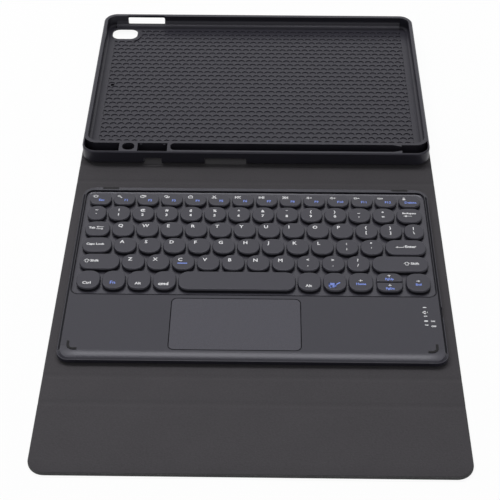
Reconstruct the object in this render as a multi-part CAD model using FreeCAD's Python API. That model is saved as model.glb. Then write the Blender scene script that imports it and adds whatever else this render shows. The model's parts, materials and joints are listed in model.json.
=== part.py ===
"""Tablet keyboard case: a folio cover, a soft tablet tray and a wireless keyboard.

The case lies open and flat. X runs across, Y from the closing flap to the tray, Z up.
The origin is at the middle of the underside. All sizes are in millimetres.
"""

import FreeCAD, Part
import math
import os

# Cover layers
skin_thickness = 0.8
board_thickness = 1.0
lining_thickness = 0.6
cover_corner = 10.5
cover_side_margin = 1.5
cover_far_margin = 1.0
board_border = 4.0
crease_gap = 0.3
flap_length = 53.9

# Tablet that the tray is moulded for
tablet_width = 250.6
tablet_depth = 174.1
tablet_thickness = 7.7
tablet_corner = 8.5

# Tray walls
tray_floor = 1.4
tray_side_wall = 1.95
tray_far_wall = 2.8
tray_lip_overhang = 1.0
tray_lip_height = 2.2
tray_bottom_slope = 2.0
tray_rim_slope = 0.8
bond_thickness = 0.2
tray_fold_gap = 0.6
honeycomb_depth = 0.9
honeycomb_margin = 6.5

# Pencil channel in the near wall of the tray
channel_width = 8.3
channel_outer_wall = 2.6
channel_inner_wall = 1.7
channel_floor = 1.2
channel_start = 64.7
channel_end = 27.0
channel_round = 3.2
channel_tip_length = 6.4
channel_tip_width = 5.0
pocket_outer_wall = 1.2
pocket_web = 2.2
key_pocket_length = 21.9
oval_pocket_length = 9.0
oval_pocket_round = 3.9
pocket_lug_width = 1.5
pocket_lug_depth = 1.0
pocket_lug_inset = 1.7
pocket_lug_drop = 0.6

# Windows through the tray
near_window_height = 6.0
near_window_lengths = (13.1, 30.5)
near_window_starts = (45.3, 89.9)
volume_slot_length = 30.4
volume_slot_sill = 0.2
volume_slot_rise = 0.3
volume_slot_round = 1.2
volume_slot_start = 19.0
camera_width = 20.7
camera_depth = 16.2
camera_round = 6.0
camera_side_inset = 6.6
camera_far_inset = 7.0
camera_cover_clearance = 4.0
camera_board_clearance = 6.0
sound_hole_diameter = 2.4
sound_hole_inset = 13.2
port_window_length = 18.0
speaker_window_length = 19.2
speaker_window_offset = 29.4
jack_hole_length = 9.0
jack_offset = 69.0
power_window_length = 22.0
power_offset = 55.0
end_window_height = 4.8

# Keyboard case
keyboard_side_margin = 7.0
keyboard_setback = 13.1
keyboard_front_margin = 9.5
case_corner = 8.0
case_rim_height = 2.4
case_rim_ledge = 0.5
case_edge_slope = 1.6
front_roll_depth = 7.6
front_roll_drop = 1.6
case_height = 6.0
case_wall = 2.2
front_wall = 4.0
palm_rib = 1.0
bottom_case_height = 1.6
bottom_floor = 1.2
bottom_inset = 0.6
bottom_chamfer = 0.9
rear_bezel = 5.1
side_bezel = 3.0
palm_skin = 1.5
well_depth = 1.3
well_floor = 1.0
well_corner = 5.0

# Keys
key_top = 7.5
key_travel = 1.6
key_stop_gap = 0.1
keys_across = 14
key_depth = 14.6
function_key_depth = 11.7
bottom_key_depth = 16.8
key_gap = 2.1
arrow_gap = 2.9
arrow_split = 1.3
arrow_inner_corner = 0.7
key_corner = 6.3
short_key_corner = 5.0
corner_share = 0.47
corner_facets = 3
cap_flare = 0.45
field_side_margin = 3.3
field_far_margin = 5.0
field_near_margin = 4.0
grave_share = 0.84
tab_share = 1.12
caps_share = 1.31
left_shift_share = 1.78
arrow_share = 1.05
up_down_share = 1.13
plunger_side = 7.0
plunger_clearance = 0.3
plunger_reach = 2.5
key_plate_thickness = 0.4
membrane_thickness = 0.3
dome_base = 6.6
dome_crown = 4.0

# Touchpad
touchpad_width = 82.5
touchpad_near_gap = 8.1
touchpad_corner = 3.5
touchpad_gap = 0.4
touchpad_plate_thickness = 1.0
touchpad_board_thickness = 0.8
touchpad_board_inset = 2.0
touchpad_well_gap = 3.7
touchpad_shift = -11.0
touchpad_ledge = 4.0
touchpad_ledge_thickness = 1.0
click_switch_side = 4.0
click_switch_gap = 0.5

# Keyboard inner pieces and trim
battery_side_inset = 13.5
battery_margin = 5.6
battery_height = 2.8
board_margin = 7.6
board_height = 1.0
inner_clearance = 4.0
socket_width = 9.0
socket_height = 3.2
socket_reach = 7.0
socket_wall = 0.5
socket_setback = 12.0
socket_recess = 1.2
slider_slot_length = 5.0
slider_slot_height = 1.4
slider_travel = 2.0
slider_clearance = 0.2
slider_flange = 1.2
slider_proud = 0.3
slider_setback = 31.0
window_length = 2.2
window_depth = 0.7
window_pitch = 8.0
window_side_inset = 11.7
window_setback = 9.8
bumper_round = 4.2
bumper_width = 1.5
bumper_reach_across = 6.6
bumper_reach_along = 7.3
bumper_side_inset = 5.95
bumper_near_inset = 7.05
bumper_sunk = 0.8
bumper_proud = 0.35
rear_pad_length = 11.4
rear_pad_width = 2.2
rear_pad_sunk = 1.2
rear_pad_offset = 102.2
rear_pad_inset = 1.4

# Magnets and keepers
magnet_length = 22.0
magnet_width = 7.0
magnet_side_inset = 50.75
flap_magnet_inset = 27.0
keyboard_magnet_height = 1.5
front_magnet_inset = 8.0
rear_magnet_inset = 6.5
magnet_plate_gap = 0.3

# Room left when the case is shut
closed_gap = 0.4
wrap_gap = 0.4

# How far a cut runs past the face it opens
cut_past = 1.0

# Heights of the layers
cover_thickness = skin_thickness + board_thickness + lining_thickness
board_bottom = skin_thickness
board_top = skin_thickness + board_thickness
tray_bottom = cover_thickness + bond_thickness
tray_height = tray_floor + tablet_thickness + tray_lip_height
tray_top = tray_bottom + tray_height
tray_floor_top = tray_bottom + tray_floor
lip_bottom = tray_floor_top + tablet_thickness
keyboard_bottom = cover_thickness
case_top = keyboard_bottom + case_height
case_split = keyboard_bottom + bottom_case_height
rim_top = case_split + case_rim_height
floor_top = keyboard_bottom + bottom_floor
well_top = case_top - well_depth
well_bottom = well_top - well_floor
cap_top = keyboard_bottom + key_top
cap_bottom = well_top + key_travel + key_stop_gap
plunger_bottom = cap_bottom - plunger_reach
plate_top = floor_top + key_plate_thickness
membrane_top = plate_top + membrane_thickness

# Plan of the tray
channel_depth = channel_outer_wall + channel_width + channel_inner_wall
tray_width = tablet_width + 2 * tray_side_wall
tray_depth = channel_depth + tablet_depth + tray_far_wall
tray_corner = tablet_corner + tray_side_wall

# Plan of the cover, panel by panel
cover_width = tray_width + 2 * cover_side_margin
back_length = tray_fold_gap + tray_depth + cover_far_margin
spine_length = bond_thickness + tray_height + key_top + closed_gap
bed_length = back_length + wrap_gap
strip_length = spine_length + cover_thickness + wrap_gap
cover_length = flap_length + strip_length + bed_length + spine_length + back_length
y_front = -cover_length / 2
y_flap = y_front + flap_length
y_strip = y_flap + strip_length
y_spine = y_strip + bed_length
y_back = y_spine + spine_length
y_far = y_back + back_length
half_cover = cover_width / 2
magnet_offset = half_cover - magnet_side_inset

# Places of the tray and the tablet space
tray_near = y_back + tray_fold_gap
tray_far = tray_near + tray_depth
half_tray = tray_width / 2
tablet_near = tray_near + channel_depth
tablet_far = tablet_near + tablet_depth
half_tablet = tablet_width / 2
tablet_middle = (tablet_near + tablet_far) / 2
camera_left = -half_tray + camera_side_inset
camera_right = camera_left + camera_width
camera_far = tray_far - camera_far_inset
camera_near = camera_far - camera_depth
sound_hole_x = -half_tray + sound_hole_inset

# Places of the keyboard, its key field and its touchpad
half_keyboard = half_cover - keyboard_side_margin
field_depth = function_key_depth + 4 * key_depth + bottom_key_depth + 5 * key_gap
well_length = field_far_margin + field_depth + field_near_margin
keyboard_far = y_spine - keyboard_setback
keyboard_near = y_strip + keyboard_front_margin
well_far = keyboard_far - rear_bezel
well_near = well_far - well_length
half_well = half_keyboard - side_bezel
half_field = half_well - field_side_margin
key_width = (2 * half_field - (keys_across - 1) * key_gap) / keys_across
touchpad_far = well_near - touchpad_well_gap
touchpad_near = keyboard_near + touchpad_near_gap
touchpad_left = touchpad_shift - touchpad_width / 2
touchpad_right = touchpad_shift + touchpad_width / 2
touchpad_plate_bottom = case_top - touchpad_plate_thickness
touchpad_board_bottom = touchpad_plate_bottom - touchpad_board_thickness


def box(x0, x1, y0, y1, z0, z1):
    """A plain block between two corners."""
    return Part.makeBox(x1 - x0, y1 - y0, z1 - z0, FreeCAD.Vector(x0, y0, z0))


def rounded_wire(x0, x1, y0, y1, z, near_round, far_round):
    """A rectangle whose near and far corners have their own radii, as lines and arcs."""
    corners = (
        (x0, y0, 180, near_round),
        (x1, y0, 270, near_round),
        (x1, y1, 0, far_round),
        (x0, y1, 90, far_round),
    )
    middle_x, middle_y = (x0 + x1) / 2, (y0 + y1) / 2
    ends, edges = [], []
    for x, y, start, radius in corners:
        centre_x = x + math.copysign(radius, middle_x - x)
        centre_y = y + math.copysign(radius, middle_y - y)
        spots = [
            FreeCAD.Vector(
                centre_x + radius * math.cos(math.radians(start + turn)),
                centre_y + radius * math.sin(math.radians(start + turn)),
                z,
            )
            for turn in (0, 45, 90)
        ]
        ends.append((spots[0], spots[2]))
        if radius > 0:
            edges.append(Part.Arc(*spots).toShape())
        else:
            edges.append(None)
    loop = []
    for i in range(4):
        if edges[i]:
            loop.append(edges[i])
        leave, arrive = ends[i][1], ends[(i + 1) % 4][0]
        if leave.distanceToPoint(arrive) > 1e-6:
            loop.append(Part.LineSegment(leave, arrive).toShape())
    return Part.Wire(loop)


def rounded_block(x0, x1, y0, y1, z0, z1, near_round, far_round=None):
    """A block with upright rounded corners."""
    far_round = near_round if far_round is None else far_round
    wire = rounded_wire(x0, x1, y0, y1, z0, near_round, far_round)
    return Part.Face(wire).extrude(FreeCAD.Vector(0, 0, z1 - z0))


def frustum(base, crown):
    """A solid between two flat loops of as many points each, with flat sides."""
    loops = [base[::-1], crown]
    for i in range(len(base)):
        j = (i + 1) % len(base)
        loops.append([base[i], base[j], crown[j], crown[i]])
    faces = [Part.Face(Part.makePolygon(loop + loop[:1])) for loop in loops]
    return Part.Solid(Part.Shell(faces))


def edges_at(shape, z):
    """The edges that lie flat at one height."""
    low = [e for e in shape.Edges if abs(e.BoundBox.ZMin - z) < 1e-6]
    return [e for e in low if abs(e.BoundBox.ZMax - z) < 1e-6]


def upright_hole(x, y, diameter, z0, z1):
    """A round hole through a floor."""
    return Part.makeCylinder(diameter / 2, z1 - z0, FreeCAD.Vector(x, y, z0))


def camera_opening(clearance):
    """The camera window, right through the floor and the cover."""
    return rounded_block(
        camera_left - clearance,
        camera_right + clearance,
        camera_near - clearance,
        camera_far + clearance,
        -cut_past,
        tray_top,
        camera_round + clearance,
    )


def panel_span(y0, y1):
    """One panel from crease to crease, short of each crease by half the gap."""
    start = y0 + (crease_gap / 2 if y0 > y_front else 0)
    stop = y1 - (crease_gap / 2 if y1 < y_far else 0)
    return start, stop


def panel_block(y0, y1, z0, z1):
    """The plan of one panel, with round corners only at the ends of the cover."""
    start, stop = panel_span(y0, y1)
    near_round = cover_corner if y0 == y_front else 0
    far_round = cover_corner if y1 == y_far else 0
    return rounded_block(-half_cover, half_cover, start, stop, z0, z1, near_round, far_round)


def board_block(y0, y1):
    """The stiff board inside one panel, inside its border."""
    x = half_cover - board_border
    return box(-x, x, y0 + board_border, y1 - board_border, board_bottom, board_top)


def make_panel(y0, y1, boarded=True, notch=None):
    """Skin with a pocket, board and lining of one cover panel."""
    skin = panel_block(y0, y1, 0, board_top)
    lining = panel_block(y0, y1, board_top, cover_thickness)
    board = board_block(y0, y1) if boarded else None
    if notch:
        board = board.cut(notch)
    if boarded:
        skin = skin.cut(board)
    return skin, board, lining


def bar_magnets(y_middle, z0, z1, offset):
    """A pair of bar magnets, left and right."""
    length, width = magnet_length / 2, magnet_width / 2
    return [
        box(x - length, x + length, y_middle - width, y_middle + width, z0, z1)
        for x in (-offset, offset)
    ]


def make_cover():
    """The five panels of the folio, with magnets and keepers set into the boards."""
    parts = {}
    flap_skin, flap_board, flap_lining = make_panel(y_front, y_flap)
    strip_skin, _, strip_lining = make_panel(y_flap, y_strip, boarded=False)
    bed_skin, bed_board, bed_lining = make_panel(y_strip, y_spine)
    spine_skin, spine_board, spine_lining = make_panel(y_spine, y_back)
    notch = box(
        -half_cover, camera_right + camera_board_clearance,
        camera_near - camera_board_clearance, y_far, 0, cover_thickness,
    )
    back_skin, back_board, back_lining = make_panel(y_back, y_far, notch=notch)

    flap_magnet_y = y_flap - flap_magnet_inset
    flap_magnets = bar_magnets(flap_magnet_y, board_bottom, board_top, magnet_offset)
    keeper_y = y_far - flap_magnet_inset
    keepers = bar_magnets(keeper_y, board_bottom, board_top, magnet_offset)
    bed_magnets = keyboard_magnet_pairs(board_bottom, board_top)

    opening = camera_opening(camera_cover_clearance)
    parts["flap_skin"] = flap_skin
    parts["flap_board"] = flap_board.cut(flap_magnets)
    parts["flap_lining"] = flap_lining
    parts["flap_magnets"] = Part.makeCompound(flap_magnets)
    parts["strip_skin"] = strip_skin
    parts["strip_lining"] = strip_lining
    parts["bed_skin"] = bed_skin
    parts["bed_board"] = bed_board.cut(bed_magnets)
    parts["bed_lining"] = bed_lining
    parts["bed_magnets"] = Part.makeCompound(bed_magnets)
    parts["spine_skin"] = spine_skin
    parts["spine_board"] = spine_board
    parts["spine_lining"] = spine_lining
    parts["back_skin"] = back_skin.cut(opening)
    parts["back_board"] = back_board.cut(keepers)
    parts["back_lining"] = back_lining.cut(opening)
    parts["back_keepers"] = Part.makeCompound(keepers)
    return parts


def tray_pockets():
    """The openings along the top of the near wall, from left to right."""
    y0 = tray_near + channel_outer_wall
    y1 = y0 + channel_width
    z0, z1 = tray_bottom + channel_floor, tray_top + cut_past
    slot_left = -half_tray + channel_start
    slot_right = half_tray - channel_end
    slot_tip = slot_right + channel_tip_length
    key_right = slot_left - pocket_web
    key_left = key_right - key_pocket_length
    oval_right = key_left - pocket_web
    oval_left = oval_right - oval_pocket_length
    slot = rounded_block(
        slot_left, slot_right + channel_round, y0, y1, z0, z1, channel_round
    ).common(box(slot_left, slot_right, y0, y1, z0, z1))
    tip_near = (y0 + y1 - channel_tip_width) / 2
    tip_far = tip_near + channel_tip_width
    tip_end = slot_tip + pocket_web
    tip_spots = [
        (slot_right, y0), (slot_tip, tip_near), (tip_end, tip_near),
        (tip_end, tip_far), (slot_tip, tip_far), (slot_right, y1),
    ]
    tip_wire = Part.makePolygon([FreeCAD.Vector(x, y, z0) for x, y in tip_spots + tip_spots[:1]])
    tip = Part.Face(tip_wire).extrude(FreeCAD.Vector(0, 0, z1 - z0))
    wall = pocket_outer_wall
    pocket_near = tray_near + wall
    lug_top = tray_top - pocket_lug_drop
    lugs = [
        box(x, x + pocket_lug_width, y1 - pocket_lug_depth, y1, lug_top - pocket_lug_depth, lug_top)
        for x in (key_left + pocket_lug_inset, key_right - pocket_lug_inset - pocket_lug_width)
    ]
    key_pocket = box(key_left, key_right, pocket_near, y1, z0, z1).cut(lugs)
    oval_pocket = rounded_block(oval_left, oval_right, y0, y1, z0, z1, oval_pocket_round)

    inside = rounded_block(
        -half_tray + wall, half_tray - wall, pocket_near, tray_far, z0, z1, tray_corner - wall
    )
    tablet = rounded_block(
        -half_tablet - channel_inner_wall,
        half_tablet + channel_inner_wall,
        y1,
        tray_far + cut_past,
        z0,
        z1,
        tablet_corner + channel_inner_wall,
    )
    left = box(-half_tray, oval_left - pocket_web, pocket_near, y1 + tablet_corner, z0, z1)
    right = box(slot_tip, half_tray, pocket_near, y1 + tablet_corner, z0, z1)
    corners = [inside.common(side).cut(tablet) for side in (left, right)]
    return [slot.fuse(tip), key_pocket, oval_pocket] + corners


def volume_slot():
    """The tall slot through the far wall at the volume buttons, and the gap in the lip above it."""
    x0 = -half_tray + volume_slot_start
    x1 = x0 + volume_slot_length
    z0, z1 = tray_floor_top + volume_slot_sill, lip_bottom + volume_slot_rise
    slot = rounded_block(
        x0, x1, z0, z1, -tray_far - cut_past, cut_past - tablet_far, volume_slot_round
    )
    slot.rotate(FreeCAD.Vector(0, 0, 0), FreeCAD.Vector(1, 0, 0), 90)
    lip_gap = box(x0, x1, tablet_far - 2 * cut_past, tablet_far, z0, tray_top + cut_past)
    return [slot, lip_gap]


def tray_windows():
    """The windows through the walls and the floor of the tray."""
    cuts = []
    for start, length in zip(near_window_starts, near_window_lengths):
        x = -half_tray + start
        y1 = tray_near + channel_outer_wall + channel_width
        top = tray_bottom + near_window_height
        cuts.append(box(x, x + length, tray_near - cut_past, y1, tray_bottom - cut_past, top))
    z_middle = tray_floor_top + tablet_thickness / 2
    cuts += volume_slot()
    right_windows = (
        (0, port_window_length),
        (-speaker_window_offset, speaker_window_length),
        (speaker_window_offset, speaker_window_length),
    )
    left_windows = (
        (-jack_offset, jack_hole_length),
        (power_offset, power_window_length),
    )
    for side, windows in ((1, right_windows), (-1, left_windows)):
        for offset, length in windows:
            x0, x1 = sorted((side * (half_tablet - cut_past), side * (half_tray + cut_past)))
            y = tablet_middle + offset
            low, high = z_middle - end_window_height / 2, z_middle + end_window_height / 2
            cuts.append(box(x0, x1, y - length / 2, y + length / 2, low, high))
    cuts.append(camera_opening(0))
    cuts.append(upright_hole(sound_hole_x, tablet_middle, sound_hole_diameter, 0, tray_top))
    return cuts


def make_tray():
    """The soft moulded tray with its lip, pencil channel and windows, and its bonding film."""
    tray = rounded_block(
        -half_tray, half_tray, tray_near, tray_far, tray_bottom, tray_top, tray_corner
    )
    tray = tray.makeChamfer(tray_bottom_slope, edges_at(tray, tray_bottom))
    tray = tray.makeChamfer(tray_rim_slope, edges_at(tray, tray_top))
    tablet = rounded_block(
        -half_tablet, half_tablet, tablet_near, tablet_far,
        tray_floor_top, lip_bottom, tablet_corner,
    )
    lip = tray_lip_overhang
    opening = rounded_block(
        -half_tablet + lip, half_tablet - lip, tablet_near + lip, tablet_far - lip,
        lip_bottom, tray_top + cut_past, tablet_corner - lip,
    )
    margin = lip + honeycomb_margin
    field = box(
        -half_tablet + margin, half_tablet - margin, tablet_near + margin, tablet_far - margin,
        tray_floor_top - honeycomb_depth, lip_bottom,
    )
    island = camera_opening(honeycomb_margin / 2)
    tray = tray.cut([tablet, opening, field.cut(island)] + tray_pockets() + tray_windows())

    inset = tray_bottom_slope
    bond = rounded_block(
        -half_tray + inset, half_tray - inset, tray_near + channel_depth, tray_far - inset,
        cover_thickness, tray_bottom, tray_corner - inset,
    )
    return {"tray": tray, "tray_bond": bond.cut(camera_opening(camera_cover_clearance))}


def key_rows():
    """Rows of (name, left, right, near, far) for every key, from the rear row to the front."""
    rows = (
        (function_key_depth, [("function_keys", 1)] * (keys_across - 1), "function_keys"),
        (
            key_depth,
            [("grave_key", grave_share)] + [("number_keys", 1)] * 12,
            "backspace_key",
        ),
        (
            key_depth,
            [("tab_key", tab_share)] + [("upper_letter_keys", 1)] * 12,
            "backslash_key",
        ),
        (
            key_depth,
            [("caps_lock_key", caps_share)] + [("home_letter_keys", 1)] * 11,
            "enter_key",
        ),
        (
            key_depth,
            [("left_shift_key", left_shift_share)] + [("lower_letter_keys", 1)] * 10,
            "right_shift_key",
        ),
    )
    keys = []
    far = well_far - field_far_margin
    for depth, shares, last in rows:
        left = -half_field
        for name, share in shares:
            width = share * key_width
            keys.append((name, left, left + width, far - depth, far))
            left += width + key_gap
        keys.append((last, left, half_field, far - depth, far))
        far -= depth + key_gap
    return keys + bottom_row_keys(far)


def bottom_row_keys(far):
    """The bottom row: modifiers, space bar, and the arrow keys with up over down."""
    near = far - bottom_key_depth
    keys = []
    left = -half_field
    for name in ("control_key", "fn_key", "left_alt_key", "system_key"):
        keys.append((name, left, left + key_width, near, far))
        left += key_width + key_gap
    space_left = left
    right = half_field
    arrow_width, up_down_width = arrow_share * key_width, up_down_share * key_width
    keys.append(("right_arrow_key", right - arrow_width, right, near, far))
    right -= arrow_width + arrow_gap
    split = (near + far) / 2
    half_split = arrow_split / 2
    keys.append(("up_arrow_key", right - up_down_width, right, split + half_split, far))
    keys.append(("down_arrow_key", right - up_down_width, right, near, split - half_split))
    right -= up_down_width + arrow_gap
    keys.append(("left_arrow_key", right - arrow_width, right, near, far))
    right -= arrow_width + key_gap
    for name in ("touchpad_lock_key", "right_alt_key"):
        keys.append((name, right - key_width, right, near, far))
        right -= key_width + key_gap
    keys.append(("space_bar", space_left, right, near, far))
    return keys


def key_radii(name, left, right, near, far):
    """Radii of a key's near and far corners. Up and down are round only where they don't meet."""
    width, depth = right - left, far - near
    radius = key_corner if depth > 2 * key_corner else short_key_corner
    if name == "up_arrow_key":
        return arrow_inner_corner, radius
    if name == "down_arrow_key":
        return radius, arrow_inner_corner
    radius = min(radius, min(width, depth) * corner_share)
    return radius, radius


def key_outline(name, left, right, near, far, z, grow):
    """A keycap's plan at one height: a rectangle whose round corners are cut in a few flats."""
    near_round, far_round = key_radii(name, left, right, near, far)
    corners = (
        (right - far_round, far - far_round, 0, far_round),
        (left + far_round, far - far_round, 90, far_round),
        (left + near_round, near + near_round, 180, near_round),
        (right - near_round, near + near_round, 270, near_round),
    )
    spots = []
    for x, y, start, radius in corners:
        for i in range(corner_facets + 1):
            turn = math.radians(start + 90 * i / corner_facets)
            reach = radius + grow
            spots.append(
                FreeCAD.Vector(x + reach * math.cos(turn), y + reach * math.sin(turn), z)
            )
    return spots


def plunger_size(near, far):
    """The plunger's half width across and along a key, less on a shallow key."""
    return plunger_side / 2, min(plunger_side, (far - near) / 2) / 2


def key_solid(name, left, right, near, far):
    """One keycap, wider at its foot, with the plunger that slides in the window below it."""
    plan = (name, left, right, near, far)
    cap = frustum(key_outline(*plan, cap_bottom, cap_flare), key_outline(*plan, cap_top, 0))
    x, y = (left + right) / 2, (near + far) / 2
    half_x, half_y = plunger_size(near, far)
    plunger = box(x - half_x, x + half_x, y - half_y, y + half_y, plunger_bottom, cap_bottom)
    return cap.fuse(plunger)


def dome_solid(left, right, near, far):
    """The rubber dome under one key, as a square frustum."""
    x, y = (left + right) / 2, (near + far) / 2
    half_x, half_y = plunger_size(near, far)
    share = half_y / half_x
    rings = []
    for z, side in ((membrane_top, dome_base), (plunger_bottom, dome_crown)):
        rings.append(
            [
                FreeCAD.Vector(x + i * side / 2, y + j * side / 2 * share, z)
                for i, j in ((-1, -1), (1, -1), (1, 1), (-1, 1))
            ]
        )
    return frustum(*rings)


def key_windows(keys):
    """The square windows in the floor of the key field that guide the plungers."""
    cuts = []
    for _, left, right, near, far in keys:
        x, y = (left + right) / 2, (near + far) / 2
        half_x, half_y = (half + plunger_clearance for half in plunger_size(near, far))
        low, high = well_bottom - cut_past, well_top + cut_past
        cuts.append(box(x - half_x, x + half_x, y - half_y, y + half_y, low, high))
    return cuts


def make_keys(keys):
    """Keycaps by node: groups of like keys, and single keys."""
    groups = {}
    for key in keys:
        groups.setdefault(key[0], []).append(key_solid(*key))
    return {
        name: Part.makeCompound(solids) if len(solids) > 1 else solids[0]
        for name, solids in groups.items()
    }


def bumper_block(side, z0, z1):
    """A strip bent round a front corner of the palm rest."""
    x = side * (half_keyboard - bumper_side_inset)
    y = keyboard_near + bumper_near_inset
    x0, x1 = sorted((x, x - side * bumper_reach_across))
    y1 = y + bumper_reach_along
    wide, grow = 2 * bumper_reach_across, bumper_width
    outer_x = sorted((x, x - side * wide))
    inner_x = sorted((x - side * grow, x - side * wide))
    outer = rounded_block(*outer_x, y, y + wide, z0, z1, bumper_round)
    inner = rounded_block(*inner_x, y + grow, y + wide, z0, z1, bumper_round - grow)
    return outer.cut(inner).common(box(x0, x1, y, y1, z0, z1))


def rear_pad_blocks():
    """Two rubber pads let into the rear edge of the top case."""
    y1 = keyboard_far - rear_pad_inset
    half = rear_pad_length / 2
    return [
        box(x - half, x + half, y1 - rear_pad_width, y1, case_top - rear_pad_sunk, case_top)
        for x in (-rear_pad_offset, rear_pad_offset)
    ]


def indicator_blocks():
    """Three small light windows at the right of the palm rest."""
    x = half_keyboard - window_side_inset
    y = well_near - window_setback
    half_x, half_y = window_length / 2, window_depth / 2
    z0 = case_top - palm_skin
    return [
        box(x - half_x, x + half_x, y - half_y - i * window_pitch,
            y + half_y - i * window_pitch, z0, case_top)
        for i in range(3)
    ]


def keyboard_magnet_pairs(z0, z1):
    """Bar magnets near the front edge and at the rear edge of the keyboard."""
    front = bar_magnets(keyboard_near + front_magnet_inset, z0, z1, magnet_offset)
    rear = bar_magnets(keyboard_far - rear_magnet_inset, z0, z1, magnet_offset)
    return front + rear


def slider_middle():
    """Where the middle of the power slider's slot is: place along Y and height."""
    return well_near - slider_setback, (case_split + rim_top) / 2


def make_slider():
    """The power slider: a knob in its slot, with a flange behind the wall."""
    y, z = slider_middle()
    knob = slider_slot_length - slider_travel - 2 * slider_clearance
    y0 = y - slider_slot_length / 2 + slider_clearance
    half_z = slider_slot_height / 2 - slider_clearance
    inner = half_keyboard - case_wall - slider_clearance
    knob_block = box(inner, half_keyboard + slider_proud, y0, y0 + knob, z - half_z, z + half_z)
    grow = slider_flange / 2
    flange = box(
        inner - slider_flange, inner, y0 - grow, y0 + knob + grow,
        z - half_z - grow, z + half_z + grow,
    )
    return knob_block.fuse(flange)


def case_wire(inset, z):
    """The outline of the keyboard, drawn in by an inset."""
    return rounded_wire(
        -half_keyboard + inset, half_keyboard - inset, keyboard_near + inset,
        keyboard_far - inset, z, case_corner - inset, case_corner - inset,
    )


def case_form():
    """The outside of the top case: a rim, sloping sides and a front edge that rolls down."""
    rim = Part.Face(case_wire(0, case_split)).extrude(FreeCAD.Vector(0, 0, case_rim_height))
    ledge = case_wire(case_rim_ledge, rim_top)
    crown = case_wire(case_rim_ledge + case_edge_slope, case_top)
    upper = Part.makeLoft([ledge, crown], True, True)
    depth, drop = front_roll_depth, front_roll_drop
    radius = (depth * depth + drop * drop) / (2 * drop)
    roll_y = keyboard_near + depth
    x = half_keyboard + cut_past
    axis = FreeCAD.Vector(1, 0, 0)
    roll = Part.makeCylinder(radius, 2 * x, FreeCAD.Vector(-x, roll_y, case_top - radius), axis)
    front = box(-x, x, keyboard_near - cut_past, roll_y, rim_top, case_top + cut_past)
    return rim.fuse(upper.cut(front.cut(roll)))


def make_top_case(keys, socket):
    """The top case: sunk key field, palm rest and touchpad opening, over a hollow."""
    case = case_form()
    well = rounded_block(
        -half_well, half_well, well_near, well_far, well_top, case_top + cut_past, well_corner
    )
    wall = case_wall
    key_hollow = box(
        -half_keyboard + wall, half_keyboard - wall, well_near, keyboard_far - wall,
        case_split - cut_past, well_bottom,
    )
    palm_hollow = box(
        -half_keyboard + wall, half_keyboard - wall, keyboard_near + front_wall,
        well_near - palm_rib, case_split - cut_past, case_top - palm_skin,
    )
    gap = touchpad_gap
    touchpad = rounded_block(
        touchpad_left - gap, touchpad_right + gap, touchpad_near - gap, touchpad_far + gap,
        case_top - palm_skin - cut_past, case_top + cut_past, touchpad_corner + gap,
    )
    ledge_top = touchpad_board_bottom
    ledge = box(
        touchpad_left, touchpad_right, touchpad_far - touchpad_ledge, well_near - palm_rib / 2,
        ledge_top - touchpad_ledge_thickness, ledge_top,
    )
    y, z = slider_middle()
    slot = box(
        half_keyboard - case_wall - cut_past, half_keyboard + cut_past,
        y - slider_slot_length / 2, y + slider_slot_length / 2,
        z - slider_slot_height / 2, z + slider_slot_height / 2,
    )
    low = case_top - bumper_sunk
    cuts = [well, key_hollow, palm_hollow, touchpad, slot, socket]
    cuts += key_windows(keys) + indicator_blocks() + rear_pad_blocks()
    cuts += [bumper_block(side, low, case_top + cut_past) for side in (-1, 1)]
    return case.cut(cuts).fuse(ledge)


def make_bottom_case(socket):
    """The bottom case: a shallow pan, drawn in and chamfered underneath."""
    x = half_keyboard - bottom_inset
    y0, y1 = keyboard_near + bottom_inset, keyboard_far - bottom_inset
    pan = rounded_block(-x, x, y0, y1, keyboard_bottom, case_split, case_corner - bottom_inset)
    pan = pan.makeChamfer(bottom_chamfer, edges_at(pan, keyboard_bottom))
    inner = case_wall
    hollow = box(
        -half_keyboard + inner, half_keyboard - inner, keyboard_near + front_wall,
        keyboard_far - inner, floor_top, case_split + cut_past,
    )
    return pan.cut([hollow, socket])


def socket_tube(wall, x0, x1):
    """A flat bar along X at the charging socket, less a wall all round."""
    y, z = well_near - socket_setback, keyboard_bottom + case_height / 2
    half_y, half_z = socket_width / 2 - wall, socket_height / 2 - wall
    return box(x0, x1, y - half_y, y + half_y, z - half_z, z + half_z)


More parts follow.
